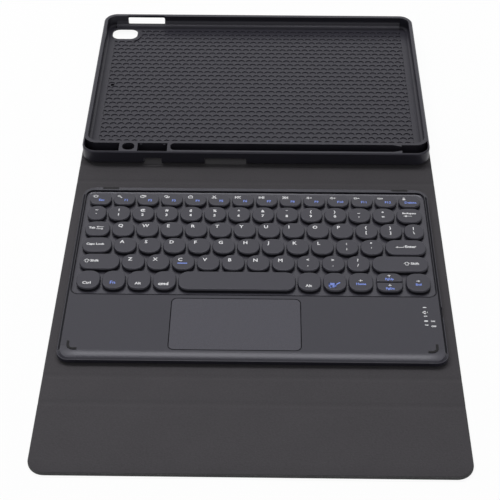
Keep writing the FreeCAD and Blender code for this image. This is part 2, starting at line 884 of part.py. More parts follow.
def make_keyboard():
    """The wireless keyboard: cases, key works, touchpad, electronics and trim."""
    keys = key_rows()
    outside = half_keyboard + cut_past
    socket_out = half_keyboard - socket_recess
    socket_in = socket_out - socket_reach
    socket = socket_tube(0, socket_in, socket_out)
    mouth = socket_tube(socket_wall, socket_in + socket_wall, outside)
    passage = socket_tube(0, socket_in, outside)
    parts = make_keys(keys)
    parts["top_case"] = make_top_case(keys, passage)
    parts["bottom_case"] = make_bottom_case(passage)
    parts["charging_socket"] = socket.cut(mouth)
    parts["power_slider"] = make_slider()

    x = half_keyboard - inner_clearance
    plate_far = keyboard_far - rear_magnet_inset - magnet_width / 2 - magnet_plate_gap
    parts["key_plate"] = box(-x, x, well_near, plate_far, floor_top, plate_top)
    parts["membrane"] = box(-x, x, well_near, plate_far, plate_top, membrane_top)
    parts["key_domes"] = Part.makeCompound([dome_solid(*key[1:]) for key in keys])

    parts["touchpad_plate"] = rounded_block(
        touchpad_left, touchpad_right, touchpad_near, touchpad_far,
        touchpad_plate_bottom, case_top, touchpad_corner,
    )
    inset = touchpad_board_inset
    parts["touchpad_board"] = box(
        touchpad_left + inset, touchpad_right - inset, touchpad_near + inset,
        touchpad_far, touchpad_board_bottom, touchpad_plate_bottom,
    )
    switch_y = touchpad_near + inset
    switch_top = touchpad_board_bottom - click_switch_gap
    half = touchpad_width / 4
    parts["touchpad_switches"] = Part.makeCompound(
        [
            box(x - click_switch_side / 2, x + click_switch_side / 2,
                switch_y, switch_y + click_switch_side, floor_top, switch_top)
            for x in (touchpad_shift - half, touchpad_shift + half)
        ]
    )

    rear = well_near - inner_clearance
    front = rear - (touchpad_far - touchpad_near)
    battery_left = -half_keyboard + battery_side_inset
    parts["battery"] = box(
        battery_left, touchpad_left - inner_clearance, front + battery_margin, rear,
        floor_top, floor_top + battery_height,
    )
    parts["main_board"] = box(
        touchpad_right + inner_clearance, socket_in, front + board_margin, rear,
        floor_top, floor_top + board_height,
    )
    parts["indicator_windows"] = Part.makeCompound(indicator_blocks())
    low, high = case_top - bumper_sunk, case_top + bumper_proud
    parts["corner_bumpers"] = Part.makeCompound(
        [bumper_block(side, low, high) for side in (-1, 1)]
    )
    parts["rear_pads"] = Part.makeCompound(rear_pad_blocks())
    parts["keyboard_magnets"] = Part.makeCompound(
        keyboard_magnet_pairs(floor_top, floor_top + keyboard_magnet_height)
    )
    return parts


def main():
    os.makedirs("parts", exist_ok=True)
    nodes = {}
    nodes.update(make_cover())
    nodes.update(make_tray())
    nodes.update(make_keyboard())
    for name, shape in nodes.items():
        shape.exportStep(os.path.join("parts", name + ".step"))
    print(len(nodes), "nodes; creases at Y", y_flap, y_strip, y_spine, y_back)


main()
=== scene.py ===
"""Looks for the tablet keyboard case: cloth cover, honeycomb tray, keys and their prints."""

import json
import math

import bmesh
import bpy
from mathutils import Matrix, Vector


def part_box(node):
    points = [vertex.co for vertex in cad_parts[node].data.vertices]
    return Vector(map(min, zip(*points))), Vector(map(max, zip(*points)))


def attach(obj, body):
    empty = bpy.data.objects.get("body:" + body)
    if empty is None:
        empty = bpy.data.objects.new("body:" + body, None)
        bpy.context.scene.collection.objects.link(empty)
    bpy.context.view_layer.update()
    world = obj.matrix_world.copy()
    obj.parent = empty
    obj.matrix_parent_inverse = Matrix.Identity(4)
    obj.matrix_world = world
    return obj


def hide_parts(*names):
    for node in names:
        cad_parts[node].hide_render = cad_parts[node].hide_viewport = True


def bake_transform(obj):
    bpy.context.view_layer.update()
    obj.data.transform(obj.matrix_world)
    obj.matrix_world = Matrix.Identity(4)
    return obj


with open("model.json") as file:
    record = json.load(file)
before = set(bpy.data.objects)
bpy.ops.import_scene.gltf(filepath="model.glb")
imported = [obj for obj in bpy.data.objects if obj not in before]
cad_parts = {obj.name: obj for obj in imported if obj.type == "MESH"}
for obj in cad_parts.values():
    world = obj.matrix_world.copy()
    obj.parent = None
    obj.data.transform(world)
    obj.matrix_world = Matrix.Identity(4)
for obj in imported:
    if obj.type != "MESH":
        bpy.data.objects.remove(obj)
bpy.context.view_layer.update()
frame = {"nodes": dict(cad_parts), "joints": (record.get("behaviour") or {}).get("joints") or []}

bl_info = {
    "name": "Tablet keyboard case looks",
    "version": (1, 0, 0),
    "blender": (4, 5, 0),
    "location": "View3D > Sidebar > Keyboard case",
    "description": "Dresses the packed tablet keyboard case and sets its stage",
    "category": "Object",
}

MM = 0.001

# Places closer than SAME are one place. The rest are upward parts of a face's normal: a lid, a
# key's flat crown, the most for the side of a key, and the least for the part in the cap's finish.
SAME = 1e-6
LEVEL = 0.9
FLAT = 0.999
STEEP = 0.7
CAP_TURN = 0.35

# Edges sharper than this many degrees stay sharp, where a piece doesn't say otherwise.
SHARP = 32.0

WHITE = (1.0, 1.0, 1.0, 1.0)
SKY_TONE = (0.96, 0.97, 1.0, 1.0)
COOL_TINT = (0.93, 0.925, 1.0, 1.0)
PLASTIC_SHEEN = {"Specular IOR Level": 0.3, "Specular Tint": COOL_TINT}
RUBBER_SHEEN = {"Specular IOR Level": 0.2, "Specular Tint": COOL_TINT}

# The cover: room round the camera window, and how far the skin lies below the lining's top.
COVER_CLEARANCE = 4.0 * MM
SKIN_DROP = 0.25 * MM

# The tray: sizes of its camera window, honeycomb, floor, sound hole, ledge and windows. The insets
# of the honeycomb and the tablet are from the sides, the near end and the far end.
CAMERA_INSET = (6.6 * MM, 7.0 * MM)
CAMERA_SIZE = (20.7 * MM, 16.2 * MM)
CAMERA_ROUND = 6.0 * MM
CAMERA_RIM = 3.25 * MM
FIELD_INSET = (9.45 * MM, 20.1 * MM, 10.3 * MM)
TRAY_FLOOR = 1.4 * MM
TABLET_INSET = (1.95 * MM, 12.6 * MM, 2.8 * MM)
TABLET_ROUND = 8.5 * MM
SOUND_HOLE_SIDE = 13.2 * MM
# The sound hole's disc of painted shade: its lift and its radius as a share of the hole.
SOUND_SHADE_LIFT = 0.02 * MM
SOUND_SHADE_SHARE = 0.6
CELL_WELD = 0.02 * MM
LEDGE_END = 7.5 * MM
VOLUME_SLOT = (19.0 * MM, 49.4 * MM)
NEAR_WINDOWS = ((45.3 * MM, 13.1 * MM), (89.9 * MM, 30.5 * MM))
NEAR_WINDOW_DEPTH = 10.9 * MM

# The key field: insets of its bead and of its edge from the case, as above, and their corners; and
# of the touchpad's groove from its plate.
WELL_DEPTH = 1.3 * MM
BEAD_INSET = (3.6 * MM, 58.1 * MM, 5.7 * MM)
BEAD_CORNER = 4.4 * MM
WELL_INSET = (3.0 * MM, 57.4 * MM, 5.1 * MM)
WELL_CORNER = 5.0 * MM
PAD_INSET = (-0.1 * MM, -0.1 * MM, -0.1 * MM)
PAD_CORNER = 3.5 * MM

# Where along Y the lining darkens with painted shade behind the keyboard, in place of the tray's soft
# shadow, and how near its front corners the case is dull.
PAINTED_SHADE_CLOTH = (4.0 * MM, 16.0 * MM)
DULL_CORNER = (11.0 * MM, 5.0 * MM)

# The slope round the case's top: its start, width, height and corner; where its painted shade bands
# end on the sides, and how far painted shade bands and patches lie above what they cover. The rim
# behind the keys: where it ends, and the length of a rear pad.
CASE_SLOPE = (0.5 * MM, 1.6 * MM, 2.0 * MM, 8.0 * MM)
CASE_SLOPE_ENDS = (7.6 * MM, 8.0 * MM)
PAINTED_SHADE_LIFT = 0.04 * MM
RIM_END = 8.5 * MM
REAR_PAD_LENGTH = 11.4 * MM

# Keys: the plunger under a key, how much of its shorter side its corners may take, and what
# counts as one point and as its crown in the plain key.
PLUNGER_HALF = 3.5 * MM
PLUNGER_ROUND = 0.5 * MM
CORNER_SHARE = 0.47
KEY_WELD = 0.001 * MM
CROWN_DEPTH = 0.01 * MM

# The stage: place, target, width and depth of each lamp; the camera; and the floor with the share of
# white that the camera sees in it.
LAMPS = {
    "overhead": ((-0.48, 0.77, 2.13), (-0.57, 0.0, 0.0), 2.5, 0.72),
    "rear": ((-0.45, 1.3, 1.2), (-0.45, 0.0, 0.0), 2.4, 1.2),
    "front": ((-0.1, -1.5, 0.75), (0.0, 0.0, 0.0), 2.6, 1.0),
}
CAMERA_PLACE = (0.006895, -0.72207, 0.60170)
CAMERA_TURN = (math.pi / 2 - 0.7245108, 0.0, 0.014346)
SENSOR_WIDTH = 36.0
FLOOR_SIDE = 12.0
FLOOR_DROP = 0.3 * MM
FLOOR_GLOW = 0.93

# Prints on the keys, key by key from left to right: a sign and a word, a letter, or two marks.
FUNCTION_PRINTS = (
    ("home", "Esc"), ("search", "F1"), ("select", "F2"), ("copy", "F3"), ("paste", "F4"),
    ("cut", "F5"), ("previous", "F6"), ("play", "F7"), ("next", "F8"), ("quiet", "F9"),
    ("loud", "F10"), ("dim", "F11"), ("bright", "F12"), ("lock", "Delete"),
)
ROW_PRINTS = {
    "number_keys": ("!1", "@2", "#3", "$4", "%5", "^6", "&7", "*8", "(9", ")0", "_-", "+="),
    "upper_letter_keys": (*"QWERTYUIOP", "{[", "}]"),
    "home_letter_keys": (*"ASDFGHJKL", ":;", "\"'"),
    "lower_letter_keys": (*"ZXCVBNM", "<,", ">.", "?/"),
    "grave_key": ("~`",),
    "backslash_key": ("|\\",),
}
UNDERLINED = ("lower_letter_keys", 2)
INKS = ("white_ink", "blue_ink")
WHITE_INK, BLUE_INK = 0, 1

# How much bolder a print is than its font, in millimetres, and a capital's share of a font's size.
BOLD = 0.08
CAPITAL_SHARE = 0.73

# Words on single keys: height in millimetres, shares of the key's width and depth, ink, boldness.
SINGLE_WORDS = {
    "caps_lock_key": ("Caps Lock", 2.05, 0.43, 0.47),
    "control_key": ("Ctrl", 2.5, 0.44, 0.71),
    "fn_key": ("Fn", 2.9, 0.46, 0.68, BLUE_INK),
    "left_alt_key": ("Alt", 2.4, 0.46, 0.72),
    "system_key": ("cmd", 2.9, 0.46, 0.73, WHITE_INK, 0.12),
    "right_alt_key": ("Alt", 2.4, 0.46, 0.77),
    "tab_key": ("Tab", 2.1, 0.27, 0.47),
    "backspace_key": ("Backspace", 1.7, 0.5, 0.36),
    "enter_key": ("Enter", 2.5, 0.62, 0.47),
    "left_shift_key": ("Shift", 2.3, 0.36, 0.48),
    "right_shift_key": ("Shift", 2.3, 0.765, 0.49),
}

# Signs on single keys: side in millimetres, shares as above, ink, share of a stroke, width to side.
SINGLE_SIGNS = {
    "tab_key": ("tabs", 3.4, 0.60, 0.47, WHITE_INK, 0.13, 1.3),
    "backspace_key": ("left", 1.5, 0.42, 0.56, WHITE_INK, 0.24, 4.0),
    "enter_key": ("return", 2.2, 0.35, 0.50, WHITE_INK, 0.18, 2.6),
    "left_shift_key": ("shift", 3.4, 0.165, 0.48, WHITE_INK, 0.14, 1.1),
    "right_shift_key": ("shift", 3.4, 0.62, 0.49, WHITE_INK, 0.14, 1.1),
    "touchpad_lock_key": ("pad", 5.4, 0.47, 0.72, BLUE_INK, 0.17, 1.25),
}

# Prints on the arrow keys: the word below the arrow, and the shares down of arrow and word.
ARROWS = {
    "left": ("Home", 0.44, 0.64), "right": ("End", 0.44, 0.64),
    "up": ("PgUp", 0.32, 0.74), "down": ("PgDn", 0.32, 0.74),
}
for arrow, (below, arrow_down, word_down) in ARROWS.items():
    SINGLE_SIGNS[f"{arrow}_arrow_key"] = (arrow, 1.8, 0.5, arrow_down, WHITE_INK, 0.24, 1.2)
    SINGLE_WORDS[f"{arrow}_arrow_key"] = (below, 1.9, 0.5, word_down, BLUE_INK, 0.11)

# Prints by the indicators, in millimetres: signs with side, place and stroke; words with height.
PALM_SIGNS = (("cell", 2.8, 0.0, -5.0, 0.3), ("bar", 1.2, 0.0, -12.8, 0.9))
PALM_WORDS = (("ON", 1.2, 4.3, -13.0), ("OFF", 1.3, 4.5, -17.6))

# Small signs as lines through points, x and y in turn, in hundredths of the sign's side.
SPEAKER = (-50, 15, -10, 40, -10, -40, -50, -15, -50, 15)
SUN = ((-45, 0, 5, 0), (-20, 25, -20, -25), (-40, 20, 0, -20), (-40, -20, 0, 20))
SIGNS = {
    "home": ((-50, 0, 0, 45, 50, 0), (-32, 10, -32, -45, 32, -45, 32, 10)),
    "search": ((-40, 10, -15, 45, 15, 20, -10, -15, -40, 10), (5, -5, 45, -50)),
    "select": ((-50, 30, 20, 30, 20, -45, -50, -45, -50, 30), (-20, 50, 50, 50, 50, -20)),
    "copy": ((-45, 45, 15, 45, 15, -15, -45, -15, -45, 45), (-10, -45, 45, -45, 45, 10)),
    "paste": ((-40, 35, 40, 35, 40, -50, -40, -50, -40, 35), (-15, 50, 15, 50)),
    "cut": ((-40, -45, 25, 50), (40, -45, -25, 50), (-50, -40, -20, -50), (50, -40, 20, -50)),
    "previous": ((-50, 40, -50, -40), (5, 40, -40, 0, 5, -40), (50, 40, 5, 0, 50, -40)),
    "play": ((-50, 40, -50, -40, 5, 0, -50, 40), (20, 40, 20, -40), (45, 40, 45, -40)),
    "next": ((50, 40, 50, -40), (-5, 40, 40, 0, -5, -40), (-50, 40, -5, 0, -50, -40)),
    "quiet": (SPEAKER, (20, 0, 50, 0)),
    "loud": (SPEAKER, (15, 0, 50, 0), (33, 20, 33, -20)),
    "dim": (*SUN, (25, 0, 50, 0)),
    "bright": (*SUN, (20, 0, 50, 0), (35, 15, 35, -15)),
    "lock": ((-35, 5, 35, 5, 35, -40, -35, -40, -35, 5), (-35, -15, 35, -15),
             (-20, 5, -20, 40, 20, 40, 20, 5)),
    "shift": ((0, 50, 50, 0, 22, 0, 22, -45, -22, -45, -22, 0, -50, 0, 0, 50),),
    "return": ((-50, -10, 50, -10, 50, 35), (-25, 15, -50, -10, -25, -35)),
    "tabs": ((-50, 30, 50, 30), (-30, 50, -50, 30, -30, 10), (-50, -30, 50, -30),
             (30, -10, 50, -30, 30, -50)),
    "left": ((-50, 0, 50, 0), (-10, 35, -50, 0, -10, -35)),
    "right": ((-50, 0, 50, 0), (10, 35, 50, 0, 10, -35)),
    "up": ((0, -50, 0, 50), (-35, 10, 0, 50, 35, 10)),
    "down": ((0, -50, 0, 50), (-35, -10, 0, -50, 35, -10)),
    "pad": ((-50, 30, 10, 30, 10, -30, -50, -30, -50, 30), (-40, -40, 50, 45), (-50, 8, 10, 8)),
    "cell": ((-50, 30, 35, 30, 35, -30, -50, -30, -50, 30), (45, 12, 45, -12)),
    "bar": ((-50, 0, 50, 0),),
}


def size(name, about, default, low=0.0, high=1.0):
    """A length in metres that a user may change."""
    return bpy.props.FloatProperty(
        name=name, description=about, default=default, min=low, max=high, precision=5,
        subtype="DISTANCE", unit="LENGTH",
    )


def share(name, about, default, high=1.0):
    """A plain number that a user may change."""
    return bpy.props.FloatProperty(name=name, description=about, default=default, min=0.0, max=high)


def colour(name, about, red, green, blue):
    """A colour given as it shows on screen, from 0 to 255."""
    return bpy.props.FloatVectorProperty(
        name=name, description=about, size=3, min=0.0, max=1.0, subtype="COLOR",
        default=tuple(on_surface(part) for part in (red, green, blue)),
    )


def on_surface(shown):
    """The linear value of a screen value from 0 to 255."""
    part = shown / 255.0
    return part / 12.92 if part <= 0.04045 else ((part + 0.055) / 1.055) ** 2.4


class CoverLook(bpy.types.PropertyGroup):
    """Sizes and colours of the cloth cover."""

    lining: colour("Lining", "Brushed inner cloth", 70, 68, 71)
    skin: colour("Skin", "Coated outer cloth", 66, 66, 67)
    lining_inset: size("Lining inset", "How far the lining stops short of the edge", 0.0006)
    edge: size("Edge", "Rounding of the cover's edges", 0.0005)
    fold: size("Fold", "Half the width of cloth that bends at a crease", 0.0032)
    valley: size("Valley", "Depth of the pressed line at a crease", 0.00028)
    corner: size("Corner", "Radius of the cover's outer corners", 0.0105)


class TrayLook(bpy.types.PropertyGroup):
    """Sizes and colours of the moulded tray."""

    rubber: colour("Rubber", "Moulded tray", 46, 45, 52)
    pitch: size("Pitch", "Distance from one honeycomb cell to the next", 0.0060)
    row: size("Row", "Distance from one row of cells to the next", 0.0054)
    web: size("Web", "Width of the ribs between the cells", 0.0011)
    wall: size("Wall", "Slope of a cell's sides, seen from above", 0.00015)
    roundness: share("Roundness", "How round a cell is, from six-sided to a circle", 0.75)
    depth: size("Depth", "Depth of a cell", 0.0006)
    sound_hole: size("Sound hole", "Side of the opening for sound", 0.0024)
    cove: size("Cove", "Radius where the tray's floor meets its walls", 0.0022)
    ledge_width: size("Ledge width", "Width of the ledge along the far wall", 0.0036)
    ledge_height: size("Ledge height", "Height of the ledge at its front", 0.0021)
    ledge_slope: share("Ledge slope", "Slope of the ledge's top in radians", 0.36)
    ledge_cove: size("Ledge cove", "Radius where the ledge meets the wall", 0.0036)
    ledge_foot: size("Ledge foot", "How far the ledge's front slopes out to the floor", 0.0006)
    ledge_round: size("Ledge round", "Rounding of the ledge's front edge", 0.0006)


class KeyboardLook(bpy.types.PropertyGroup):
    """Sizes and colours of the keyboard."""

    case: colour("Case", "Moulded case", 39, 38, 46)
    # The field's lighter tone is painted light on the floor that the keys shade.
    field: colour("Field", "Floor of the key field", 58, 57, 64)
    cap: colour("Cap", "Top of a key", 43, 42, 50)
    # A key's sides take this darker tone as painted shade.
    painted_shade_skirt: colour("Skirt", "Side of a key", 16, 16, 18)
    pad: colour("Touchpad", "Touchpad", 57, 56, 64)
    white: colour("White print", "Main print on the keys", 245, 245, 247)
    blue: colour("Blue print", "Second print on the keys", 134, 156, 236)
    cap_thickness: size("Cap thickness", "Height of a keycap's side", 0.0011)
    cap_edge: size("Cap edge", "Rounding of a keycap's upper edge", 0.00035)
    cap_corner: size("Cap corner", "Radius of a keycap's corners", 0.0063)
    short_corner: size("Short corner", "Radius of the corners of a shallow key", 0.0050)
    inner_corner: size("Inner corner", "Radius where the up and down keys meet", 0.0007)
    cap_flare: size("Cap flare", "How much wider a keycap is at its foot", 0.00045)
    bead: size("Bead", "Width of the bead round the key field", 0.0010)
    bead_height: size("Bead height", "Height of the bead's outer side", 0.00036)
    groove: size("Groove", "Width of the dark line round key field and touchpad", 0.0005)
    rim_slope: share("Rim slope", "Slope of the back of the rim, as rise over run", 0.15)
    letter: size("Letter", "Height of a capital letter", 0.0031)
    ink: size("Ink", "How far the print lies above the key", 0.00003)


class StageLook(bpy.types.PropertyGroup):
    """Floor, lights and camera."""

    floor: colour("Floor", "Pale floor", 250, 250, 250)
    overhead: share("Overhead light", "Power of the soft light above", 39.0, 200.0)
    rear: share("Rear light", "Power of the broad light behind", 5.5, 200.0)
    front: share("Front light", "Power of the broad light in front", 4.5, 200.0)
    sky: share("Sky", "Strength of the light from all round", 0.17, 4.0)
    lens: bpy.props.FloatProperty(
        name="Lens", description="Focal length in millimetres", default=95.754, min=10, max=300
    )


class Field:
    """A number that varies over a surface, for use in plain arithmetic."""

    def __init__(self, tree, socket):
        self.tree = tree
        self.socket = socket

    def combine(self, operation, first, second):
        node = self.tree.nodes.new("ShaderNodeMath")
        node.operation = operation
        for slot, value in zip(node.inputs, (first, second)):
            if isinstance(value, Field):
                self.tree.links.new(value.socket, slot)
            else:
                slot.default_value = value
        return Field(self.tree, node.outputs[0])

    def __add__(self, other):
        return self.combine("ADD", self, other)

    def __radd__(self, other):
        return self.combine("ADD", other, self)

    def __sub__(self, other):
        return self.combine("SUBTRACT", self, other)

    def __rsub__(self, other):
        return self.combine("SUBTRACT", other, self)

    def __mul__(self, other):
        return self.combine("MULTIPLY", self, other)

    def between(self, low, high):
        """1 where the number lies between two limits, and 0 elsewhere."""
        return self.combine("GREATER_THAN", self, low) * self.combine("LESS_THAN", self, high)


class Shading:
    """A node tree, and the one way that nodes other than arithmetic are added to it."""

    def __init__(self, tree):
        self.tree = tree

    def feed(self, node, name, value):
        """Sets or links one input socket."""
        if isinstance(value, Field):
            value = value.socket
        if isinstance(value, bpy.types.NodeSocket):
            self.tree.links.new(value, node.inputs[name])
        else:
            node.inputs[name].default_value = value

    def node(self, kind, settings=None, sockets=None):
        """A new node with its settings, then its values and links."""
        node = self.tree.nodes.new("ShaderNode" + kind)
        for name, value in (settings or {}).items():
            setattr(node, name, value)
        for name, value in (sockets or {}).items():
            self.feed(node, name, value)
        return node

    def seen(self):
        """1 for the rays that show the background: from the camera, by gloss and through glass."""
        rays = self.node("LightPath")
        camera, gloss, glass = (
            Field(self.tree, rays.outputs[f"Is {kind} Ray"])
            for kind in ("Camera", "Glossy", "Transmission")
        )
        return camera + gloss + glass

    def show(self, output, amount, first, second):
        """Shows a mix of two shaders."""
        mix = self.node("MixShader", None, {0: amount, 1: first.outputs[0], 2: second.outputs[0]})
        self.feed(self.tree.nodes[output], "Surface", mix.outputs[0])


class Finish(Shading):
    """One surface finish: a material with its principled shader."""

    def __init__(self, name, tone, roughness, settings=None):
        self.material = bpy.data.materials.new(name)
        self.material.use_nodes = True
        super().__init__(self.material.node_tree)
        self.shader = self.tree.nodes["Principled BSDF"]
        self.feed(self.shader, "Base Color", (*tone, 1.0))
        self.rough(roughness)
        for socket, value in (settings or {}).items():
            self.feed(self.shader, socket, value)
        self.place = self.node("TexCoord").outputs["Object"]

    def noise(self, scale, detail=3.0, stretch=None):
        """Soft noise from 0 to 1, with about scale bumps in each metre."""
        place = self.place
        if stretch:
            place = self.node("Mapping", None, {"Vector": place, "Scale": stretch}).outputs[0]
        node = self.node("TexNoise", None, {"Vector": place, "Scale": scale, "Detail": detail})
        return Field(self.tree, node.outputs[0])

    def grain(self, scale):
        """Leather-like cells, 0 in the furrows between them."""
        node = self.node(
            "TexVoronoi", {"feature": "DISTANCE_TO_EDGE"}, {"Vector": self.place, "Scale": scale}
        )
        return Field(self.tree, node.outputs[0])

    def axes(self):
        """The place on the surface along X, Y and Z, in metres."""
        apart = self.node("SeparateXYZ", None, {"Vector": self.place})
        return [Field(self.tree, socket) for socket in apart.outputs]

    def ramp(self, value, low, high):
        """A value stretched so that low becomes 0 and high becomes 1."""
        node = self.node("ValToRGB", None, {"Fac": value})
        for stop, place in zip(node.color_ramp.elements, (low, high)):
            stop.position = place
        return Field(self.tree, node.outputs[0])

    def tint(self, tone, other, amount):
        """Base colour that goes from one tone to another."""
        node = self.node("Mix", {"data_type": "RGBA"}, {0: amount, 6: (*tone, 1.0), 7: (*other, 1.0)})
        self.feed(self.shader, "Base Color", node.outputs[2])

    def rough(self, value):
        self.feed(self.shader, "Roughness", value)

    def bump(self, height, depth, strength=1.0):
        """Raises the surface by a height field of that depth in metres."""
        node = self.node("Bump", None, {"Height": height, "Distance": depth, "Strength": strength})
        self.feed(self.shader, "Normal", node.outputs[0])


def scaled(tone, factor):
    """A colour made lighter or darker."""
    return tuple(min(1.0, part * factor) for part in tone)


def lining_finish():
    tone = bpy.context.scene.cover_look.lining
    finish = Finish("brushed_lining", tone, 0.95, {"Specular IOR Level": 0.2, "Sheen Weight": 0.06})
    cloud = finish.noise(38.0, 4.0)
    nap = finish.noise(900.0, 4.0)
    # Painted shade: the lining darkens along Y from start to stop and stays darker beyond, behind the
    # keyboard.
    start, stop = PAINTED_SHADE_CLOTH
    darker = finish.ramp((finish.axes()[1] - start) * (1 / (stop - start)), 0.0, 1.0)
    mottle = cloud * 0.25 + nap * 0.75
    finish.tint(scaled(tone, 0.72), scaled(tone, 1.26), mottle - darker * 0.28)
    finish.bump(nap, 0.35 * MM, 0.35)


def skin_finish():
    tone = bpy.context.scene.cover_look.skin
    finish = Finish("coated_skin", tone, 0.55, {"Specular IOR Level": 0.2})
    cells = finish.ramp(finish.grain(720.0), 0.0, 0.22)
    cloud = finish.noise(60.0, 3.0)
    finish.tint(scaled(tone, 0.72), scaled(tone, 1.12), cells * 0.7 + cloud * 0.3)
    finish.rough(0.66 - cells * 0.14)
    finish.bump(cells, 0.18 * MM, 0.6)


def rubber_finish():
    tone = bpy.context.scene.tray_look.rubber
    finish = Finish("tray_rubber", tone, 0.5, RUBBER_SHEEN)
    cloud = finish.noise(45.0, 3.0)
    fine = finish.noise(2600.0, 2.0)
    finish.tint(scaled(tone, 0.92), scaled(tone, 1.08), cloud * 0.5 + fine * 0.5)
    finish.rough(0.30 + cloud * 0.1)
    finish.bump(fine, 0.06 * MM, 0.4)


def moulded_finish(name, tone, roughness, scale=3000.0):
    """Fine-textured plastic, as on the keyboard's case, keys and touchpad."""
    finish = Finish(name, tone, roughness, PLASTIC_SHEEN)
    cloud = finish.noise(30.0, 3.0)
    spark = finish.noise(scale, 2.0)
    finish.tint(scaled(tone, 0.93), scaled(tone, 1.07), cloud * 0.4 + spark * 0.6)
    finish.rough(roughness - 0.06 + spark * 0.12)
    finish.bump(spark, 0.05 * MM, 0.35)


def case_finish(tone, painted_light_tone, roughness):
    """The case's plastic, with painted light: a lighter tone on the floor of the key field, which the
    keys shade.
    """
    finish = Finish("case_plastic", tone, roughness, PLASTIC_SHEEN)
    spark = finish.noise(3000.0, 2.0)
    low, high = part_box("top_case")
    (left, near), (right, far) = plan_inside("top_case", *WELL_INSET)
    x, y, z = finish.axes()
    # Painted light: the floor of the key field takes the lighter tone.
    floor = x.between(left, right) * y.between(near, far) * z.between(0.0, high[2] - WELL_DEPTH / 2)
    finish.tint(tone, painted_light_tone, floor * (0.85 + spark * 0.15))
    begin, full = (high[0] - inset for inset in DULL_CORNER)
    dull = finish.ramp(x * x, begin * begin, full * full)
    dull = dull * finish.ramp((low[1] + DULL_CORNER[0] - y) * (1 / DULL_CORNER[1]), 0.0, 1.0)
    finish.rough(roughness - 0.06 + spark * 0.12 + dull * 0.4)
    finish.bump(spark, 0.05 * MM, 0.35)


def speckled_finish(name, tone, roughness, sheen, scale, shades, relief=0.0):
    """A dull finish between two shades of a tone, as of ink, dark film or soft rubber."""
    finish = Finish(name, tone, roughness, {"Specular IOR Level": sheen})
    speckle = finish.noise(scale)
    finish.tint(scaled(tone, shades[0]), scaled(tone, shades[1]), speckle)
    if relief:
        finish.bump(speckle, relief, 0.4)


def sheet_metal_finish(name, tone):
    finish = Finish(name, tone, 0.38, {"Metallic": 1.0})
    brushed = finish.noise(900.0, 3.0, (1.0, 0.05, 1.0))
    finish.tint(scaled(tone, 0.85), tone, brushed)
    finish.rough(0.28 + brushed * 0.2)


def circuit_finish(name, tone):
    finish = Finish(name, tone, 0.4)
    lanes = finish.ramp(finish.noise(260.0, 1.0, (1.0, 0.2, 1.0)), 0.48, 0.55)
    finish.tint(scaled(tone, 0.7), scaled(tone, 1.5), lanes)


def plan_inside(node, side, near, far):
    """The low and high corner of a node's plan, with insets from its sides, near and far ends."""
    low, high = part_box(node)
    return (low[0] + side, low[1] + near), (high[0] - side, high[1] - far)


def add_block(bm, low, high):
    """Adds a box to a bmesh and returns its vertices."""
    low, high = Vector(low), Vector(high)
    spread = Matrix.Diagonal((*(high - low), 1.0))
    place = Matrix.Translation((low + high) / 2) @ spread
    return bmesh.ops.create_cube(bm, size=1.0, matrix=place)["verts"]


def add_rectangle(bm, middle, length, depth, turn=0.0):
    """Adds a level rectangle to a bmesh and returns its face."""
    spread = Matrix.Diagonal((length, depth, 1.0, 1.0))
    place = Matrix.Translation(middle) @ Matrix.Rotation(turn, 4, "Z") @ spread
    made = bmesh.ops.create_grid(bm, x_segments=1, y_segments=1, size=0.5, matrix=place)
    return made["verts"][0].link_faces[0]


def verts_in(geometry):
    """The vertices in what a bmesh operation made."""
    return [g for g in geometry if isinstance(g, bmesh.types.BMVert)]


def round_edges(bm, edges, radius, segments):
    """Rounds some edges."""
    return bmesh.ops.bevel(
        bm, geom=edges, offset=radius, offset_type="OFFSET", segments=segments, profile=0.5,
        affect="EDGES", material=-1, clamp_overlap=True,
    )


def edges_at(edges, axis, place):
    """The edges that lie at one place along an axis."""
    return [e for e in edges if all(abs(v.co[axis] - place) < SAME for v in e.verts)]


def upright_edges(edges):
    """The edges that stand upright."""
    runs = ((e, e.verts[1].co - e.verts[0].co) for e in edges)
    return [e for e, run in runs if run.xy.length < SAME < abs(run.z)]


def edges_of(verts):
    """The edges that meet some vertices, each once."""
    return list(dict.fromkeys(e for v in verts for e in v.link_edges))


def rounded_block(low, high, radius, segments=8):
    """A box with its upright edges rounded, and a list with its top face."""
    bm = bmesh.new()
    add_block(bm, low, high)
    round_edges(bm, upright_edges(bm.edges), radius, segments)
    return bm, [f for f in bm.faces if f.normal.z > LEVEL]


def step_in(bm, lid, width, rise=0.0):
    """Draws the one face in a list in by a width, raises it, and returns the band round it."""
    made = bmesh.ops.inset_region(bm, faces=lid, thickness=width, use_even_offset=True)
    bmesh.ops.translate(bm, verts=lid[0].verts[:], vec=(0, 0, rise))
    return made["faces"]


def rounded_band(low, high, radius, width, rise=0.0):
    """A band inside the edge of a box's rounded top, with its inner side higher by a rise."""
    bm, lid = rounded_block(low, high, radius)
    band = step_in(bm, lid, width, rise)
    bmesh.ops.delete(bm, geom=[f for f in bm.faces if f not in band], context="FACES")
    return bm


def cut(bm, axis, place, gone=0):
    """Cuts a mesh across an axis, and takes away the side that is gone, -1 or 1, if any."""
    point, normal = Vector(), Vector()
    point[axis], normal[axis] = place, gone or 1
    geometry = bm.verts[:] + bm.edges[:] + bm.faces[:]
    bmesh.ops.bisect_plane(bm, geom=geometry, plane_co=point, plane_no=normal, clear_outer=gone != 0)


def cut_rectangle(bm, low, high):
    """Cuts a mesh along the sides of a rectangle, and returns the faces inside it."""
    for axis in (0, 1):
        cut(bm, axis, low[axis])
        cut(bm, axis, high[axis])
    middles = ((f, f.calc_center_median()) for f in bm.faces)
    return [f for f, at in middles if all(low[i] < at[i] < high[i] for i in (0, 1))]


def soften(bm, degrees):
    """Smooth shading, but for edges sharper than an angle."""
    limit = math.radians(degrees)
    for face in bm.faces:
        face.smooth = True
    for edge in bm.edges:
        edge.smooth = len(edge.link_faces) == 2 and edge.calc_face_angle(0.0) < limit


